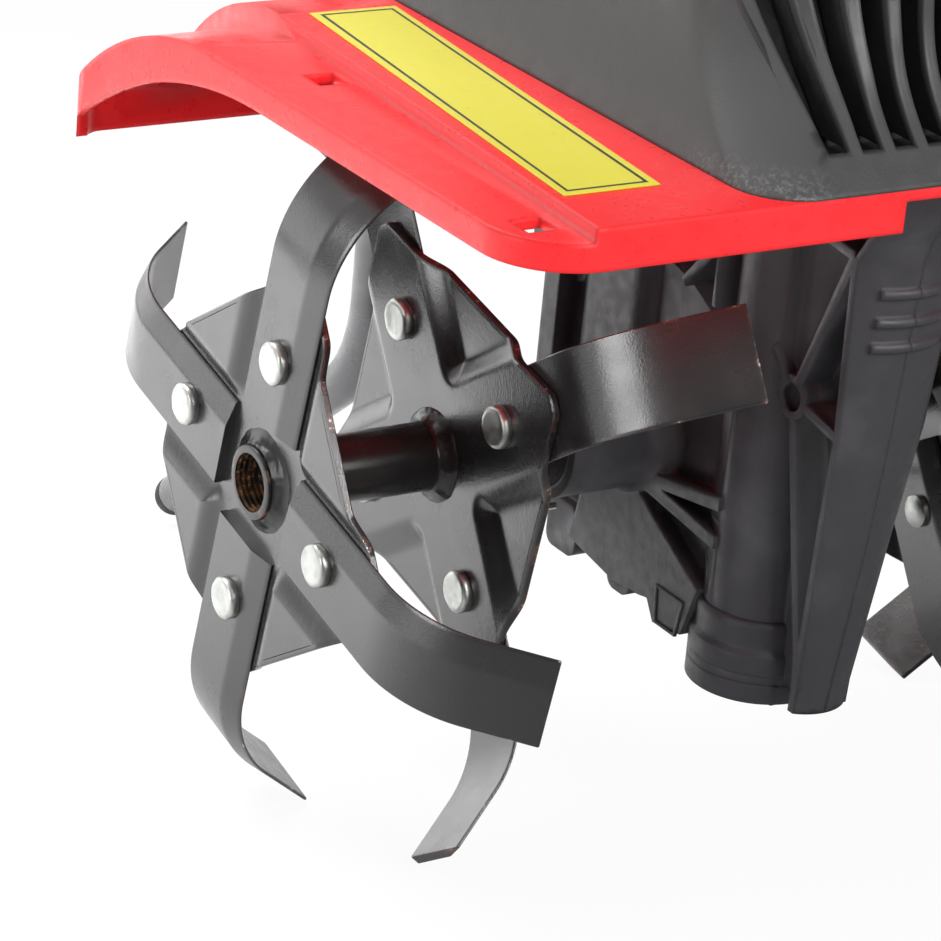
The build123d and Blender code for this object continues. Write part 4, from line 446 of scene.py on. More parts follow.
def zinc(name, color, rough_low, rough_high):
    """Bright zinc plate with fine scratches and a little dulling."""
    skin = Surface(name)
    dull = skin.band(skin.noise(180, 4), 0.35, 0.75)
    scratches = skin.bump(skin.noise(1400, 3), 0.00008, 0.4)
    rough = skin.drift(420, 3, rough_low, rough_high)
    return skin.finish(skin.mix(dull, color, toned(color, 0.72)), rough, scratches, 1.0)


def grained_plastic(name, color, rough, speck=0.25, rounding=0.0008):
    """Moulded plastic: fine grain, light specks, lighter edges and dusty patches."""
    light = toned(color, 3.2, 0.02)
    skin = Surface(name)
    dust = skin.times(skin.band(skin.noise(38, 5), 0.48, 0.78), 0.3)
    specks = skin.band(skin.cells(1100), 0.08, 0.16, speck, 0.0)
    edge = skin.times(skin.attribute("edge"), skin.band(skin.noise(210, 3), 0.35, 0.65, 0.15, 1.0))
    base = skin.mix(specks, skin.mix(dust, color, light), light)
    base = skin.mix(skin.times(edge, 0.35), base, light)
    grain = skin.bump(skin.noise(1500, 2, 0.6), 0.00016, 0.5, skin.rounded(rounding))
    waves = skin.bump(skin.noise(60, 2), 0.0006, 0.25, grain)
    return skin.finish(base, skin.drift(260, 3, rough - 0.06, rough + 0.08), waves)


def hood_plastic():
    """The hood's matte black plastic: fine light grain, a few whitish scuffs at its lower front edge."""
    black = (0.048, 0.0475, 0.0475, 1)
    speck_grey = (0.13, 0.128, 0.125, 1)
    haze_grey = (0.06, 0.057, 0.053, 1)
    scuff_grey = (0.22, 0.215, 0.21, 1)
    edge_grey = (0.12, 0.118, 0.115, 1)
    skin = Surface("hood_plastic")
    low = skin.band(skin.along(UP, leaning(0, 0, HOOD_BOTTOM)), 0.002, 0.008, 1.0, 0.0)
    front = skin.band(skin.along(FORWARD, leaning(0, SCUFF_FORWARD, 0)), 0.0, 0.03)
    corner = skin.band(skin.along((-1, 0, 0), leaning(SCUFF_SIDE, 0, 0)), 0.0, 0.02)
    patch = skin.times(skin.times(low, front), corner)
    scuff = skin.times(patch, skin.band(skin.noise(700, 5, 0.75), 0.46, 0.66))
    specks = skin.band(skin.cells(1300), 0.06, 0.13, 0.32, 0.0)
    haze = skin.times(skin.band(skin.noise(14, 3), 0.45, 0.75), 0.1)
    edge = skin.times(skin.attribute("edge"), skin.band(skin.noise(240, 3), 0.4, 0.7))
    base = skin.mix(haze, skin.mix(specks, black, speck_grey), haze_grey)
    base = skin.mix(skin.times(scuff, 0.5), base, scuff_grey)
    base = skin.mix(skin.times(edge, 0.2), base, edge_grey)
    grain = skin.bump(skin.noise(1300, 2, 0.6), 0.00014, 0.5, skin.rounded(0.0015))
    return skin.finish(base, skin.drift(200, 3, 0.34, 0.44), grain)


def guard_red():
    """Satin red plastic with faint mould waves and a few pale scuffs at its edges."""
    red = (0.87, 0.018, 0.023, 1)
    deep_red = (0.81, 0.016, 0.02, 1)
    scuff_pink = (0.85, 0.3, 0.28, 1)
    scratch_pink = (0.85, 0.2, 0.2, 1)
    skin = Surface("guard_red")
    edge = skin.times(skin.attribute("edge"), skin.band(skin.noise(210, 4), 0.5, 0.68))
    scratch = skin.times(skin.band(skin.noise(900, 4, 0.7), 0.66, 0.74), 0.2)
    base = skin.mix(skin.drift(22, 3, 0.0, 1.0), red, deep_red)
    base = skin.mix(skin.times(edge, 0.12), base, scuff_pink)
    base = skin.mix(scratch, base, scratch_pink)
    waves = skin.bump(skin.noise(60, 2), 0.0004, 0.25, skin.rounded(0.0022))
    grain = skin.bump(skin.noise(1800, 1), 0.00005, 0.4, waves)
    return skin.finish(base, skin.drift(170, 3, 0.26, 0.36), grain, ior=GUARD_IOR)


def sticker_film():
    """Plain yellow film, a little worn."""
    yellow = (0.69, 0.62, 0.048, 1)
    deep_yellow = (0.65, 0.58, 0.042, 1)
    worn_yellow = (0.55, 0.42, 0.05, 1)
    skin = Surface("sticker_film")
    worn = skin.times(skin.band(skin.noise(300, 5, 0.6), 0.62, 0.7), 0.4)
    base = skin.mix(worn, skin.mix(skin.noise(30, 3), yellow, deep_yellow), worn_yellow)
    return skin.finish(base, skin.drift(240, 2, 0.3, 0.42), skin.bump(skin.noise(500, 2), 0.00008, 0.4))


def border_ink():
    """Black print of the sticker's border."""
    black = (0.012, 0.012, 0.012, 1)
    faded = (0.035, 0.033, 0.03, 1)
    skin = Surface("border_ink")
    base = skin.mix(skin.noise(600, 3), black, faded)
    return skin.finish(base, skin.drift(300, 2, 0.35, 0.5), skin.bump(skin.noise(900, 2), 0.00005, 0.3))


def rubber(name, color):
    """Soft matte rubber with a fine pebble."""
    skin = Surface(name)
    dusty = skin.band(skin.noise(80, 4), 0.4, 0.75, 0.0, 0.5)
    base = skin.mix(dusty, color, toned(color, 2.2, 0.01))
    return skin.finish(base, skin.drift(300, 2, 0.65, 0.85), skin.bump(skin.cells(1300), 0.0003, 0.5))


def machined(name, color, rough):
    """Bare metal of the inner parts with fine turning marks."""
    skin = Surface(name)
    base = skin.mix(skin.band(skin.noise(140, 4), 0.4, 0.8), color, toned(color, 0.6))
    marks = skin.bump(skin.noise(1600, 2), 0.0001, 0.4)
    return skin.finish(base, skin.drift(600, 3, rough, rough + 0.15), marks, 1.0)


def white_floor():
    """White paper that keeps a soft shadow; in mirrors it fades towards the dim front of the room."""
    whiteness = 0.92
    dim_share = 0.8
    lit_share = 0.3
    dim_end = -0.15
    lit_start = 0.3
    dim_level = 0.03
    skin = Surface("white_floor")
    paper = skin.put("ShaderNodeBsdfDiffuse")
    grain = skin.mix(skin.noise(3, 2), (0.84, 0.84, 0.84, 1), (0.88, 0.88, 0.88, 1))
    skin.fill(paper.inputs["Color"], grain)
    path = skin.put("ShaderNodeLightPath").outputs
    behind = skin.along(LIGHT_SIDE, AXLE)
    mirrored = skin.larger(path["Is Glossy Ray"], path["Is Transmission Ray"])
    mirrored = skin.times(mirrored, skin.band(behind, dim_end, lit_start, dim_share, lit_share))
    seen = skin.times(path["Is Camera Ray"], whiteness)
    level = skin.larger(path["Is Camera Ray"], skin.band(behind, dim_end, lit_start, dim_level, 1.0))
    bright = skin.put("ShaderNodeEmission", Strength=level)
    blend = skin.put("ShaderNodeMixShader")
    skin.fill(blend.inputs["Fac"], skin.larger(seen, mirrored))
    skin.fill(blend.inputs[1], paper.outputs["BSDF"])
    skin.fill(blend.inputs[2], bright.outputs["Emission"])
    skin.fill(skin.tree.nodes["Material Output"].inputs["Surface"], blend.outputs["Shader"])
    skin.tree.nodes.remove(skin.shader)
    return skin.material


def make_materials():
    return {
        "tine": tine_coat(),
        "bore": rusty_bore(),
        "rivet": zinc("rivet_zinc", (0.56, 0.575, 0.55, 1), 0.3, 0.44),
        "film": sticker_film(),
        "ink": border_ink(),
        "case": grained_plastic("case_plastic", (0.036, 0.036, 0.041, 1), 0.44, rounding=0.0016),
        # the fins' plastic is darker than the hood's: painted shade between the slots
        "fin": grained_plastic("painted_shade_fin_plastic", (0.022, 0.022, 0.024, 1), 0.42),
        # a near-black plastic for the tray: painted shade behind the hood's slots
        "tray": grained_plastic("painted_shade_tray_plastic", (0.004, 0.004, 0.004, 1), 0.7, speck=0.0),
        "red": guard_red(),
        "hood": hood_plastic(),
        "rubber": rubber("black_rubber", (0.02, 0.02, 0.021, 1)),
        "paint": tube_coat(),
        "knob": grained_plastic("knob_plastic", (0.018, 0.018, 0.019, 1), 0.45),
        "zinc": zinc("zinc_screws", (0.72, 0.71, 0.68, 1), 0.28, 0.45),
        "chrome": zinc("clip_chrome", (0.83, 0.83, 0.84, 1), 0.08, 0.2),
        "bar": bar_coat(),
        "switch": grained_plastic("switch_plastic", (0.02, 0.02, 0.021, 1), 0.48),
        "lever": grained_plastic("lever_plastic", (0.62, 0.012, 0.012, 1), 0.4),
        "button": grained_plastic("button_plastic", (0.2, 0.2, 0.2, 1), 0.45),
        "steel": machined("bare_steel", (0.56, 0.55, 0.53, 1), 0.28),
        "bronze": machined("bronze", (0.52, 0.3, 0.12, 1), 0.3),
        "copper": machined("copper", (0.72, 0.3, 0.17, 1), 0.3),
        "aluminium": machined("cast_aluminium", (0.6, 0.6, 0.61, 1), 0.42),
    }


def added(name, data):
    """A new object of the scene."""
    obj = bpy.data.objects.new(name, data)
    bpy.context.scene.collection.objects.link(obj)
    return obj


def dressed(name, mesh, material):
    """A new object with smooth faces, crisp edges and one material."""
    mesh.polygons.foreach_set("use_smooth", [True] * len(mesh.polygons))
    mesh.set_sharp_from_angle(angle=math.radians(SMOOTH_ANGLE))
    mesh.materials.clear()
    mesh.materials.append(material)
    return added(name, mesh)


def settle(obj, node):
    """Ties a piece to the body that a node moves with."""
    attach(obj, NODES[node]["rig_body"])


def replace(name, mesh, material, node):
    """A piece that stands for a whole node."""
    obj = dressed(name, mesh, material)
    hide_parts(node)
    settle(obj, node)
    return obj


def add_beside(name, mesh, material, node):
    """A piece that goes with a node and stands for none."""
    settle(dressed(name, mesh, material), node)


def mesh_of(name, points, faces, wear=None):
    """A mesh with outward normals and, where given, a wear value for each point."""
    mesh = bpy.data.meshes.new(name)
    mesh.from_pydata([tuple(point) for point in points], [], faces)
    if wear is not None:
        layer = mesh.attributes.new("wear", "FLOAT", "POINT")
        layer.data.foreach_set("value", wear)
    bm = bmesh.new()
    bm.from_mesh(mesh)
    bmesh.ops.recalc_face_normals(bm, faces=bm.faces[:])
    bm.to_mesh(mesh)
    bm.free()
    return mesh


def joined(name, meshes):
    """One mesh of several."""
    bm = bmesh.new()
    for mesh in meshes:
        bm.from_mesh(mesh)
    whole = bpy.data.meshes.new(name)
    bm.to_mesh(whole)
    bm.free()
    for mesh in meshes:
        bpy.data.meshes.remove(mesh)
    return whole


def rings_mesh(name, rings, ends="capped", wear=None):
    """A skin over rings of equally many points; its ends are capped, open, or looped into each other."""
    count = len(rings[0])
    points = [point for ring in rings for point in ring]
    faces = []
    for row in range(len(rings) if ends == "looped" else len(rings) - 1):
        start = row * count
        beyond = (row + 1) % len(rings) * count
        for spot in range(count):
            after = (spot + 1) % count
            faces.append((start + spot, start + after, beyond + after, beyond + spot))
    if ends == "capped":
        faces.append(tuple(range(count)))
        faces.append(tuple((len(rings) - 1) * count + spot for spot in range(count)))
    return mesh_of(name, points, faces, wear)


def lathe_mesh(name, profile, center, axis, around, ends="capped", ragged=0.0, seed=0.0):
    """A turned body: (radius, height) points about an axis, with a slightly ragged rim where asked."""
    axis = axis.normalized()
    side = axis.orthogonal().normalized()
    other = axis.cross(side)
    rings = []
    for radius, height in profile:
        ring = []
        for angle in circle(around):
            way = side * math.cos(angle) + other * math.sin(angle)
            push = noise.noise(way * RAGGED_WAVES + Vector((seed, height * RAGGED_DRIFT, 0))) * ragged
            reach = radius + push * radius / RAGGED_RADIUS
            ring.append(center + way * (reach * MM) + axis * (height * MM))
        rings.append(ring)
    return rings_mesh(name, rings, ends)


def tine_section(bevel_edge, bevel_face):
    """Points of a tine's section as (across thickness, across width, wear), edges a little rounded."""
    ease_share = 0.25
    wear_share = 0.48
    half = bevel_face * TINE_THICKNESS / 2
    side = bevel_edge * TINE_WIDTH / 2
    corners = [
        (-half, -side), (half, -side), (half, side), (half - bevel_face * TINE_EDGE, side),
        (-half, side - bevel_edge * TINE_BEVEL),
    ]
    loop = []
    for number, corner in enumerate(corners):
        here = Vector(corner)
        back_way = Vector(corners[number - 1]) - here
        ahead_way = Vector(corners[(number + 1) % len(corners)]) - here
        worn = BEVEL_WEAR if number == len(corners) - 1 else 1.0
        back_run = back_way.length
        ahead_run = ahead_way.length
        back_way.normalize()
        ahead_way.normalize()
        loop.append(tuple(here + back_way * min(EDGE_WEAR_WIDTH, back_run * wear_share)) + (0.0,))
        loop.append(tuple(here + back_way * min(TINE_EASE, back_run * ease_share)) + (worn,))
        loop.append(tuple(here + ahead_way * min(TINE_EASE, ahead_run * ease_share)) + (worn,))
        loop.append(tuple(here + ahead_way * min(EDGE_WEAR_WIDTH, ahead_run * wear_share)) + (0.0,))
    return loop


def bend_place(tilt):
    """How far sideways and along a tine's middle line lies where it has turned by a tilt."""
    return TINE_BEND_RADIUS * (1 - math.cos(tilt)), TINE_BEND_START + TINE_BEND_RADIUS * math.sin(tilt)


def tine_stations(bend):
    """Stations of a tine's middle line as (sideways, along, tilt): straight, round the bend, to the tip."""
    straight_steps = 14
    bend_steps = 16
    tip_steps = 8
    turn = math.radians(bend)
    stations = []
    for step in range(straight_steps):
        stations.append((0.0, TINE_ROOT + (TINE_BEND_START - TINE_ROOT) * step / straight_steps, 0.0))
    for step in range(bend_steps):
        tilt = turn * step / bend_steps
        stations.append(bend_place(tilt) + (tilt,))
    end_sideways, end_along = bend_place(turn)
    runs = [TINE_TIP_LENGTH * step / tip_steps for step in range(tip_steps)]
    runs += [TINE_TIP_LENGTH - place for place in TIP_WEAR_PLACES]
    for run in runs:
        stations.append((end_sideways + run * math.sin(turn), end_along + run * math.cos(turn), turn))
    return stations


def tine_mesh(name, face_x, side, bend, towards, bevel_edge, bevel_face, angle):
    """One tine: a flat bar, bent near its tip, bevelled along one edge."""
    stations = tine_stations(bend)
    section = tine_section(bevel_edge, bevel_face)
    last = len(stations) - 1
    rings = []
    wear = []
    for number, (sideways, along, tilt) in enumerate(stations):
        ring = []
        shrink = TINE_TIP_SHARE if number == last else 1.0
        near_tip = TIP_WEAR[max(0, number - last + len(TIP_WEAR) - 1)]
        for thick, across, worn in section:
            thick = thick * shrink
            x = face_x + towards * sideways + thick * math.cos(tilt)
            reach = along - towards * thick * math.sin(tilt)
            ring.append(star_point(side * x, reach, across * shrink, angle))
            wear.append(max(worn, near_tip) * (ROOT_WEAR + WEAR_GAIN * along / WEAR_REACH))
        rings.append(ring)
    return rings_mesh(name, rings, wear=wear)


def tine_group(name, face_x, side, bends, ways, bevel_face, angles):
    """The four tines of one star."""
    meshes = []
    for bend, way, edge, angle in zip(bends, ways, TINE_BEVEL_EDGES, angles):
        meshes.append(tine_mesh(name, face_x, side, bend, way, edge, bevel_face, angle))
    return joined(name, meshes)


def pocket_depth(along, across):
    """How deep a plate is pressed in at a point, measured along and across its spokes."""
    reach = (abs(along) - POCKET_EDGE, abs(across) - POCKET_EDGE)
    inner = (reach[0] - POCKET_CORNER, reach[1] - POCKET_CORNER)
    if inner[0] < 0 and inner[1] < 0:
        inside = POCKET_CORNER - math.hypot(*inner)
    else:
        inside = min(reach)
    share = min(max(inside / POCKET_SLOPE, 0.0), 1.0)
    return POCKET_DEPTH * share * share * (3 - 2 * share)


def plate_edge(angle):
    """The plate's outline: a square with its corners on the tines, each corner cut off."""
    along = abs(math.cos(angle))
    across = abs(math.sin(angle))
    diamond = PLATE_HALF_SIDE * math.sqrt(2) / (along + across)
    trim = PLATE_CORNER_TRIM / max(along, across)
    return min(diamond, trim)


def plate_mesh(name, face_x, side, star_angle, press):
    """A pressed plate with a pocket between each two tines, open at the rim and pressed out or in."""
    around = 288
    steps = 44
    shares = [step / steps for step in range(steps)]
    loops = [(share, PLATE_EASE, 0.0) for share in shares]
    loops += [(1.0, PLATE_RIM_START, 0.0), (1.0, PLATE_EASE, PLATE_RIM_FALL), (1.0, 0.0, PLATE_EASE)]
    loops += [(1.0, 0.0, PLATE_THICKNESS - PLATE_EASE), (1.0, PLATE_EASE, PLATE_THICKNESS)]
    loops += [(share, PLATE_EASE, PLATE_THICKNESS) for share in reversed(shares)]
    rings = []
    wear = []
    for share, inset, depth in loops:
        ring = []
        for angle in circle(around):
            radius = HUB_RADIUS + (plate_edge(angle) - inset - HUB_RADIUS) * share
            along = radius * math.cos(angle)
            across = radius * math.sin(angle)
            x = face_x + press * pocket_depth(along, across) + depth
            ring.append(star_point(side * x, along, across, star_angle))
        rings.append(ring)
        wear.extend([1.0 if inset == 0.0 else 0.0] * around)
    return rings_mesh(name, rings, "open", wear)


def rivet_mesh(name, x_head, x_tail, side, angle, seed):
    """One rivet: a flat thick head with a rounded rim outside, a smaller upset tail inside."""
    around = 48
    length = abs(x_tail - x_head)
    profile = [(HAIR, RIVET_HEAD_HEIGHT * RIVET_DISH_SHARE)]
    profile += [(RIVET_HEAD_RADIUS * out, RIVET_HEAD_HEIGHT * up) for out, up in RIVET_HEAD_SHARES]
    profile += [(RIVET_HEAD_RADIUS * RIVET_FOOT_SHARE, HAIR)]
    profile += [(RIVET_SHANK_RADIUS, 0.0), (RIVET_SHANK_RADIUS, -length)]
    for out, deep in RIVET_TAIL_SHARES:
        profile.append((RIVET_TAIL_RADIUS * out, -length - RIVET_TAIL_HEIGHT * deep))
    profile.append((HAIR, -length - RIVET_TAIL_HEIGHT))
    center = star_point(side * x_head, RIVET_CIRCLE, 0, angle)
    outward = Vector((-side, 0, 0))
    return lathe_mesh(name, profile, center, outward, around, ragged=RIVET_RAGGED, seed=seed)


def rivet_set(name):
    """All rivets of both tine sets."""
    outer_head = -OUTER_PLATE_FACE - TINE_THICKNESS
    outer_tail = -OUTER_PLATE_FACE + PLATE_THICKNESS
    inner_head = -INNER_PLATE_FACE
    inner_tail = -INNER_PLATE_FACE + PLATE_THICKNESS + TINE_THICKNESS
    meshes = []
    for side in SIDES:
        for head, tail, angles, seed in (
            (outer_head, outer_tail, OUTER_STAR_ANGLES, OUTER_RIVET_SEED),
            (inner_head, inner_tail, INNER_STAR_ANGLES, INNER_RIVET_SEED),
        ):
            meshes += [rivet_mesh(name, head, tail, side, angle, angle * seed + side) for angle in angles]
    return joined(name, meshes)


def hub_stations():
    """Stations of the hub tube's outside as (x, radius), close together near the outer weld."""
    fine_step = 0.35
    coarse_step = 0.7
    first_gap = 0.1
    tail_gap = 0.8
    fine_end = -OUTER_PLATE_FACE + PLATE_THICKNESS + WELD_LENGTH + 1
    end_ring = HUB_RADIUS + END_RING_RISE
    ring_back = -HUB_OUTER_END + END_RING_LENGTH
    stations = [(-HUB_OUTER_END, HUB_BORE), (-HUB_OUTER_END, HUB_BORE + HUB_MOUTH_EASE)]
    stations += [(-HUB_OUTER_END + back, end_ring - down) for back, down in END_RING_CORNER]
    stations.append((ring_back, end_ring))
    x = ring_back + first_gap
    while x < -HUB_INNER_END - tail_gap:
        stations.append((x, HUB_RADIUS))
        x += fine_step if x < fine_end else coarse_step
    stations.append((-HUB_INNER_END - HUB_TAIL_EASE, HUB_RADIUS))
    return stations + [(-HUB_INNER_END, HUB_TAIL_RADIUS), (-HUB_INNER_END, HUB_BORE)]


def hub_mesh(name, side):
    """The hub tube's outside with a clean end ring, and the lumpy weld beads of both plates."""
    around = 120
    plate_faces = [-face for face in (OUTER_PLATE_FACE, INNER_PLATE_FACE)]
    plate_faces += [PLATE_THICKNESS - face for face in (OUTER_PLATE_FACE, INNER_PLATE_FACE)]
    rings = []
    wear = []
    for x, radius in hub_stations():
        ring = []
        nearest = min(abs(x - face) for face in plate_faces)
        rise = max(0.0, 1 - nearest / WELD_LENGTH)
        for angle in circle(around):
            way = Vector((x * WELD_DRIFT, math.cos(angle), math.sin(angle)))
            lump = noise.noise(way * WELD_LUMP_SCALE) + WELD_RIPPLE * noise.noise(way * WELD_RIPPLE_SCALE)
            bead = 0.0
            if radius == HUB_RADIUS:
                full = (WELD_RADIUS - HUB_RADIUS) * (1 - math.sqrt(1 - rise ** 2)) ** 0.5
                bead = max(0.0, full + WELD_LUMP * lump * min(1.0, WELD_START * rise))
            reach = radius + bead
            ring.append(upright(side * x, reach * math.cos(angle), reach * math.sin(angle)))
            wear.append(END_RING_WEAR if radius != HUB_RADIUS else WELD_WEAR * rise)
        rings.append(ring)
    return rings_mesh(name, rings, "open", wear)


def bore_mesh(name, side):
    """The hub's rusty bore, with turning grooves near its mouth."""
    around = 64
    slack = 0.01
    rings = []
    x = -HUB_OUTER_END
    while x <= -HUB_INNER_END + slack:
        groove = GROOVE_DEPTH * math.sin(x * GROOVE_TURNS) if x < -HUB_OUTER_END + GROOVE_REACH else 0.0
        radius = HUB_BORE - BORE_GAP - max(groove, 0.0)
        ring = []
        for angle in circle(around):
            ring.append(upright(side * x, radius * math.cos(angle), radius * math.sin(angle)))
        rings.append(ring)
        x += BORE_STEP
    return rings_mesh(name, rings, "open")


def build_tine_sets(materials):
    """Both tine sets: the tines, plates, rivets, hub tubes and bores."""
    outer_x = -OUTER_PLATE_FACE - TINE_THICKNESS / 2
    inner_x = -INNER_PLATE_FACE + PLATE_THICKNESS + TINE_THICKNESS / 2
    coat = materials["tine"]
    for name, side in zip(("right", "left"), SIDES):
        for star, x, bends, ways, bevel_face, angles in (
            ("outer_tines_", outer_x, OUTER_TINE_BENDS, OUTER_TINE_WAYS, 1, OUTER_STAR_ANGLES),
            ("inner_tines_", inner_x, INNER_TINE_BENDS, INNER_TINE_WAYS, -1, INNER_STAR_ANGLES),
        ):
            node = star + name
            bars = tine_group(node, x, side, bends, ways, bevel_face, angles)
            replace(node + ".bars", bars, coat, node)
    for node, face, angle, press in (
        ("outer_plates", -OUTER_PLATE_FACE, OUTER_STAR_ANGLES[0], -1),
        ("inner_plates", -INNER_PLATE_FACE, INNER_STAR_ANGLES[0], 1),
    ):
        plates = joined(node, [plate_mesh(node, face, side, angle, press) for side in SIDES])
        replace(node + ".pressed", plates, coat, node)
    replace("rivets.heads", rivet_set("rivets"), materials["rivet"], "rivets")
    hubs = joined("hub_tubes", [hub_mesh("hub", side) for side in SIDES])
    replace("hub_tubes.welded", hubs, materials["paint"], "hub_tubes")
    bores = joined("hub_bores", [bore_mesh("bore", side) for side in SIDES])
    add_beside("hub_tubes.bores", bores, materials["bore"], "hub_tubes")


def eased(rough, width, segments):
    """A copy of a mesh with its crisp edges rounded, or nothing where the rounding would break out."""
    limit = math.radians(CRISP_ANGLE)
    bm = rough.copy()
    mark = bm.faces.layers.float.new("edge")
    crisp = [edge for edge in bm.edges if len(edge.link_faces) == 2 and edge.calc_face_angle(0) > limit]
    result = bmesh.ops.bevel(
        bm, geom=crisp, offset=width, offset_type="OFFSET", segments=segments, profile=0.5, affect="EDGES",
        clamp_overlap=False, material=-1,
    )
    for face in result["faces"]:
        face[mark] = 1.0
    skin = BVHTree.FromBMesh(rough)
    bm.normal_update()
    strayed = any(skin.find_nearest(vert.co)[3] > width for vert in bm.verts)
    turned = any(
        face[mark] == 0 and face.normal.dot(skin.find_nearest(face.calc_center_median())[1]) < SAME_WAY
        for face in bm.faces
    )
    if strayed or turned:
        bm.free()
        return None
    return bm


def soft_copy(node, width, material, segments=2):
    """A copy of a node with edges eased as far as its shape allows, which stands for it."""
    rough = bmesh.new()
    rough.from_mesh(NODES[node].data)
    bmesh.ops.remove_doubles(rough, verts=rough.verts[:], dist=SAME_SPOT * MM)
    bmesh.ops.dissolve_limit(
        rough, angle_limit=math.radians(FLAT_ANGLE), use_dissolve_boundaries=False, verts=rough.verts[:],
        edges=rough.edges[:],
    )
    soft = None
    easing = width * MM
    while soft is None and easing > SMALLEST_EASE * MM:
        soft = eased(rough, easing, segments)
        easing *= EASE_SHRINK
    if soft is None:
        soft = rough.copy()
    mesh = bpy.data.meshes.new(node + ".eased")
    soft.to_mesh(mesh)
    soft.free()
    rough.free()
    obj = replace(node + ".eased", mesh, material, node)
    even = obj.modifiers.new("even_normals", "WEIGHTED_NORMAL")
    even.keep_sharp = True


def build_housings(materials):
    """Eased copies of the moulded, cast and bent pieces."""
    for node, width, finish in (
        ("gear_case_right", 0.8, "case"), ("gear_case_left", 0.8, "case"), ("bearing_cap", 0.8, "case"),
        ("guard", 0.9, "red"), ("motor_hood", 0.8, "hood"), ("motor_cap", 0.8, "hood"),
        ("cable_gland", 0.6, "rubber"), ("rear_arm", 0.8, "paint"), ("handle_clamp", 0.8, "knob"),
        ("cross_pins", 0.4, "zinc"), ("hairpins", 0.2, "chrome"), ("drag_bar", 0.3, "bar"),
        ("bar_foot", 0.3, "rubber"), ("bar_knob", 0.9, "knob"), ("lower_handle", 0.3, "paint"),
        ("upper_handle", 0.3, "paint"), ("fold_knob_right", 0.9, "knob"), ("fold_knob_left", 0.9, "knob"),
        ("grips", 1.2, "rubber"), ("switch_box", 1.2, "switch"), ("switch_lid", 1.2, "switch"),
        ("switch_lever", 0.5, "lever"), ("safety_button", 0.6, "button"), ("inlet_plug", 0.5, "switch"),
        ("lead_gland", 0.5, "rubber"), ("clamp_bolts", 0.3, "zinc"), ("fold_bolts", 0.3, "zinc"),
        ("arm_bolts", 0.3, "zinc"), ("lid_screws", 0.2, "zinc"), ("motor_cap_screws", 0.3, "zinc"),
        ("case_screws", 0.3, "zinc"), ("cap_screws", 0.2, "zinc"), ("guard_screws", 0.3, "zinc"),
    ):
        soft_copy(node, width, materials[finish])


def line_mesh(name, outer, inner, foot, top, spot):
    """A closed raised line between two outlines, from its foot to its top."""
    rings = []
    for outline, level in ((outer, foot), (outer, top), (inner, top), (inner, foot)):
        rings.append([spot(level, first, second) for first, second in outline])
    return rings_mesh(name, rings, "looped")


def sticker_inset(distance):
    """The sticker's outline with each corner pulled in along x and along forward."""
    middle_x = sum(x for x, forward in STICKER_OUTLINE) / len(STICKER_OUTLINE)
    middle_forward = sum(forward for x, forward in STICKER_OUTLINE) / len(STICKER_OUTLINE)
    corners = []
    for x, forward in STICKER_OUTLINE:
        pull = math.copysign(distance, middle_x - x)
        corners.append((x + pull, forward + math.copysign(distance, middle_forward - forward)))
    return corners


def build_sticker(film, ink):
    """The blank sticker with a plain black border line."""
    soft_copy("sticker", STICKER_EASE, film, 1)

    def spot(up, x, forward):
        return leaning(x, forward, up)

    outer = sticker_inset(BORDER_INSET)
    inner = sticker_inset(BORDER_INSET + BORDER_WIDTH)
    border = line_mesh("border", outer, inner, BORDER_FOOT, BORDER_FOOT + BORDER_HEIGHT, spot)
    add_beside("sticker.border", border, ink, "sticker")


def build_latch(plastic):
    """The raised latch outline on the tab of the case's lower panel."""
    latch = line_mesh("latch", LATCH_OUTER, LATCH_INNER, LATCH_FACE, LATCH_FACE - LATCH_HEIGHT, leaning)
    add_beside("gear_case_right.latch", latch, plastic, "gear_case_right")


def hood_front(x, up):
    """How far forward the hood's front wall lies at a place across and a height."""
    for below, above in zip(HOOD_LEVELS, HOOD_LEVELS[1:]):
        if up <= above[0]:
            break
    share = (up - below[0]) / (above[0] - below[0])
    half, front, corner = [low + share * (high - low) for low, high in zip(below[1:], above[1:])]
    into_corner = max(0.0, abs(x) - (half - corner))
    return front - corner + math.sqrt(corner ** 2 - into_corner ** 2)


def fin_mesh(x):
    """One deep fin beside a slot, which follows the hood's front wall."""
    lowest = LOUVRE_BOTTOM + FIN_END_GAP
    height = LOUVRE_TOP - LOUVRE_BOTTOM - 2 * FIN_END_GAP
    rings = []
    for step in range(FIN_STEPS + 1):
        up = lowest + step * height / FIN_STEPS
        front = hood_front(x, up) - FIN_SETBACK
        back = front - FIN_DEPTH
        corners = [(x - FIN_HALF, front), (x + FIN_HALF, front), (x + FIN_HALF, back), (x - FIN_HALF, back)]
        rings.append([leaning(across, forward, up) for across, forward in corners])
    return rings_mesh("fin", rings)


def tray_mesh():
    """The tray behind the fins: a shelf at the slots' foot and a wall that follows the hood's front."""
    below = TRAY_SHELF - TRAY_WALL
    rings = []
    for number in range(-TRAY_HALF_STEPS, TRAY_HALF_STEPS + 1):
        x = TRAY_STEP * number
        lip = hood_front(x, TRAY_SHELF) - TRAY_GAP
        wall = [(hood_front(x, up) - TRAY_DEPTH, up) for up in TRAY_ROWS]
        outer = [(forward - TRAY_WALL, up) for forward, up in reversed(wall[1:])]
        loop = [(lip, TRAY_SHELF)] + wall + outer + [(wall[0][0] - TRAY_WALL, below), (lip, below)]
        rings.append([leaning(x, forward, up) for forward, up in loop])
    return rings_mesh("tray", rings)


def build_louvres(painted_shade_fin_plastic, painted_shade_plastic):
    """Deep fins behind the hood's slots, darker than the hood as painted shade, and a near-black tray of
    painted shade that closes the slots behind them.
    """
    places = [(number - LOUVRE_COUNT / 2) * LOUVRE_PITCH for number in range(LOUVRE_COUNT)]
    fins = joined("fins", [fin_mesh(x) for x in places])
    add_beside("motor_hood.fins", fins, painted_shade_fin_plastic, "motor_hood")
    add_beside("motor_hood.tray", tray_mesh(), painted_shade_plastic, "motor_hood")


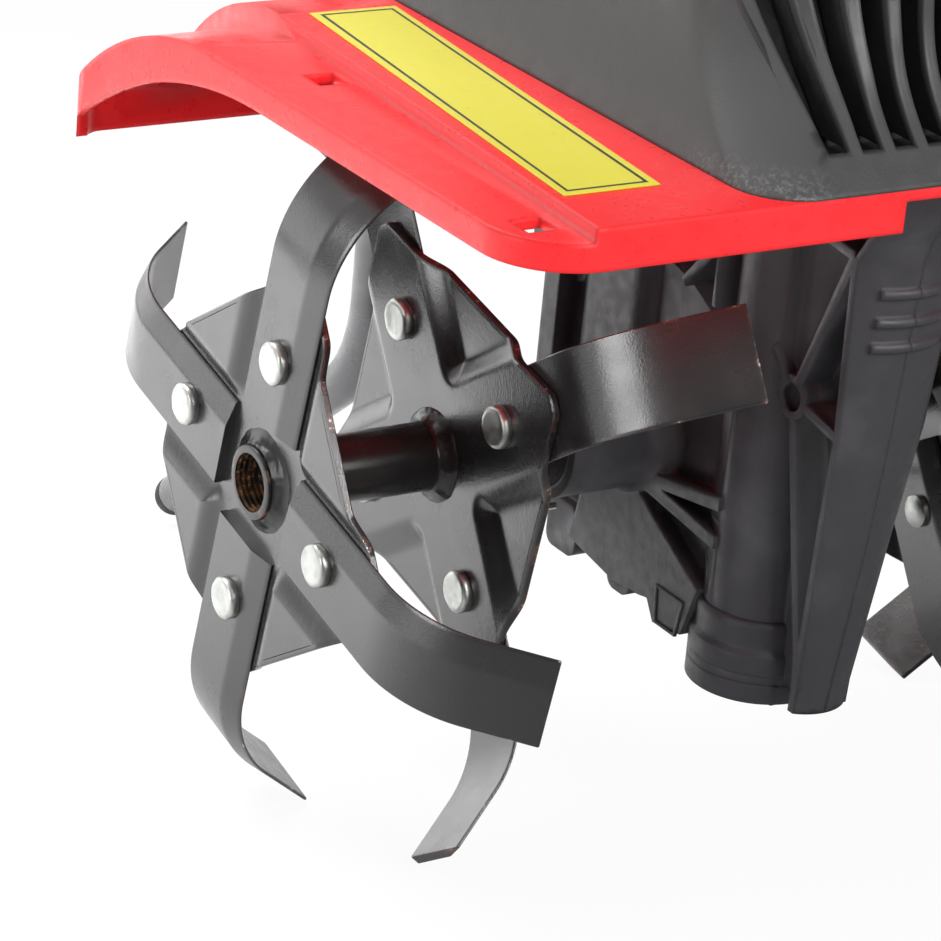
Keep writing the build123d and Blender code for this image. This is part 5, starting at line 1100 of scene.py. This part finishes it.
def build_collar(plastic):
    """The collar at the foot of the worm tube, with a rolled bead on each of its two steps."""
    around = 96
    profile = COLLAR_BEAD + COLLAR_WAIST + COLLAR_FOOT
    collar = lathe_mesh("collar", profile, leaning(0, WORM_FORWARD, 0), UP, around, "looped")
    add_beside("gear_case_right.collar", collar, plastic, "gear_case_right")


def paint_inner_nodes(materials):
    """Materials for the drive and motor pieces inside."""
    for node, finish in (
        ("axle", "steel"), ("axle_bushes", "bronze"), ("axle_seals", "rubber"), ("worm_shaft", "steel"),
        ("worm_wheel", "bronze"), ("wheel_key", "steel"), ("worm_bearings", "steel"), ("armature", "steel"),
        ("commutator", "copper"), ("fan", "switch"), ("stator", "steel"), ("field_coils", "copper"),
        ("brush_holders", "bronze"), ("motor_base", "aluminium"), ("top_bracket", "aluminium"),
        ("motor_screws", "zinc"), ("micro_switch", "switch"),
    ):
        NODES[node].data.materials.clear()
        NODES[node].data.materials.append(materials[finish])


def build_floor():
    """A white floor under the machine."""
    half = FLOOR_HALF
    corners = [(-half, -half, 0), (half, -half, 0), (half, half, 0), (-half, half, 0)]
    mesh = bpy.data.meshes.new("floor")
    mesh.from_pydata(corners, [], [(0, 1, 2, 3)])
    mesh.materials.append(white_floor())
    floor = added("floor", mesh)


def build_world():
    """A white room that is darker on the camera's side."""
    dim_end = -0.75
    lit_start = 0.55
    dim_level = 0.05
    lit_level = 0.7
    world = bpy.data.worlds.new("studio")
    bpy.context.scene.world = world
    world.use_nodes = True
    room = Nodes(world.node_tree, "Generated")
    lit_way = (LIGHT_SIDE + LIGHT_RISE).normalized()
    glow = room.band(room.along(lit_way, (0, 0, 0)), dim_end, lit_start, dim_level, lit_level)
    seen = room.put("ShaderNodeLightPath").outputs["Is Camera Ray"]
    background = room.tree.nodes["Background"]
    room.fill(background.inputs["Strength"], room.larger(glow, seen))
    room.fill(background.inputs["Color"], (1, 1, 1, 1))


def area_light(name, target, offset, size, power, spread=180):
    """A soft box that faces its target from an offset; sizes in metres, power in watts."""
    light = bpy.data.lights.new(name, "AREA")
    light.shape = "RECTANGLE"
    light.size, light.size_y = size
    light.energy = power
    light.spread = math.radians(spread)
    obj = added(name, light)
    obj.location = target + Vector(offset)
    obj.rotation_euler = (target - obj.location).to_track_quat("-Z", "Y").to_euler()


def build_lights():
    """A lit sweep behind on the right, and soft boxes behind, beside, above and in front."""
    middle = AXLE + Vector((0, 0, 0.06))
    sweep = AXLE + Vector((-0.5, 0.74, 0))
    area_light("rear_softbox", middle, (-0.5, 2.2, 0.5), size=(3.4, 1.1), power=18)
    area_light("sweep_light", sweep, (0, 0, 0.8), size=(1.3, 1.0), power=15, spread=100)
    area_light("side_softbox", middle, (-2.3, -0.3, 0.45), size=(1.0, 0.9), power=13)
    area_light("top_softbox", middle, (-0.3, -0.1, 2.2), size=(2.0, 2.0), power=8)
    area_light("front_softbox", middle, (0.25, -1.7, 0.75), size=(1.2, 1.0), power=31)


def build_camera():
    """The camera in front of the right tine set, a little above it."""
    camera = bpy.data.cameras.new("camera")
    camera.sensor_width = CAMERA_SENSOR
    camera.lens = CAMERA_LENS
    camera.clip_start = CAMERA_NEAR
    back = CAMERA_BACK.normalized()
    right = CAMERA_RIGHT.normalized()
    matrix = Matrix((right, back.cross(right), back)).transposed().to_4x4()
    matrix.translation = AXLE + CAMERA_OFFSET
    obj = added("camera", camera)
    obj.matrix_world = matrix
    bpy.context.scene.camera = obj


def main():
    bpy.context.scene.view_settings.view_transform = "Standard"
    materials = make_materials()
    build_tine_sets(materials)
    build_sticker(materials["film"], materials["ink"])
    build_housings(materials)
    build_louvres(materials["fin"], materials["tray"])
    build_collar(materials["case"])
    build_latch(materials["case"])
    paint_inner_nodes(materials)
    build_floor()
    build_world()
    build_lights()
    build_camera()


main()
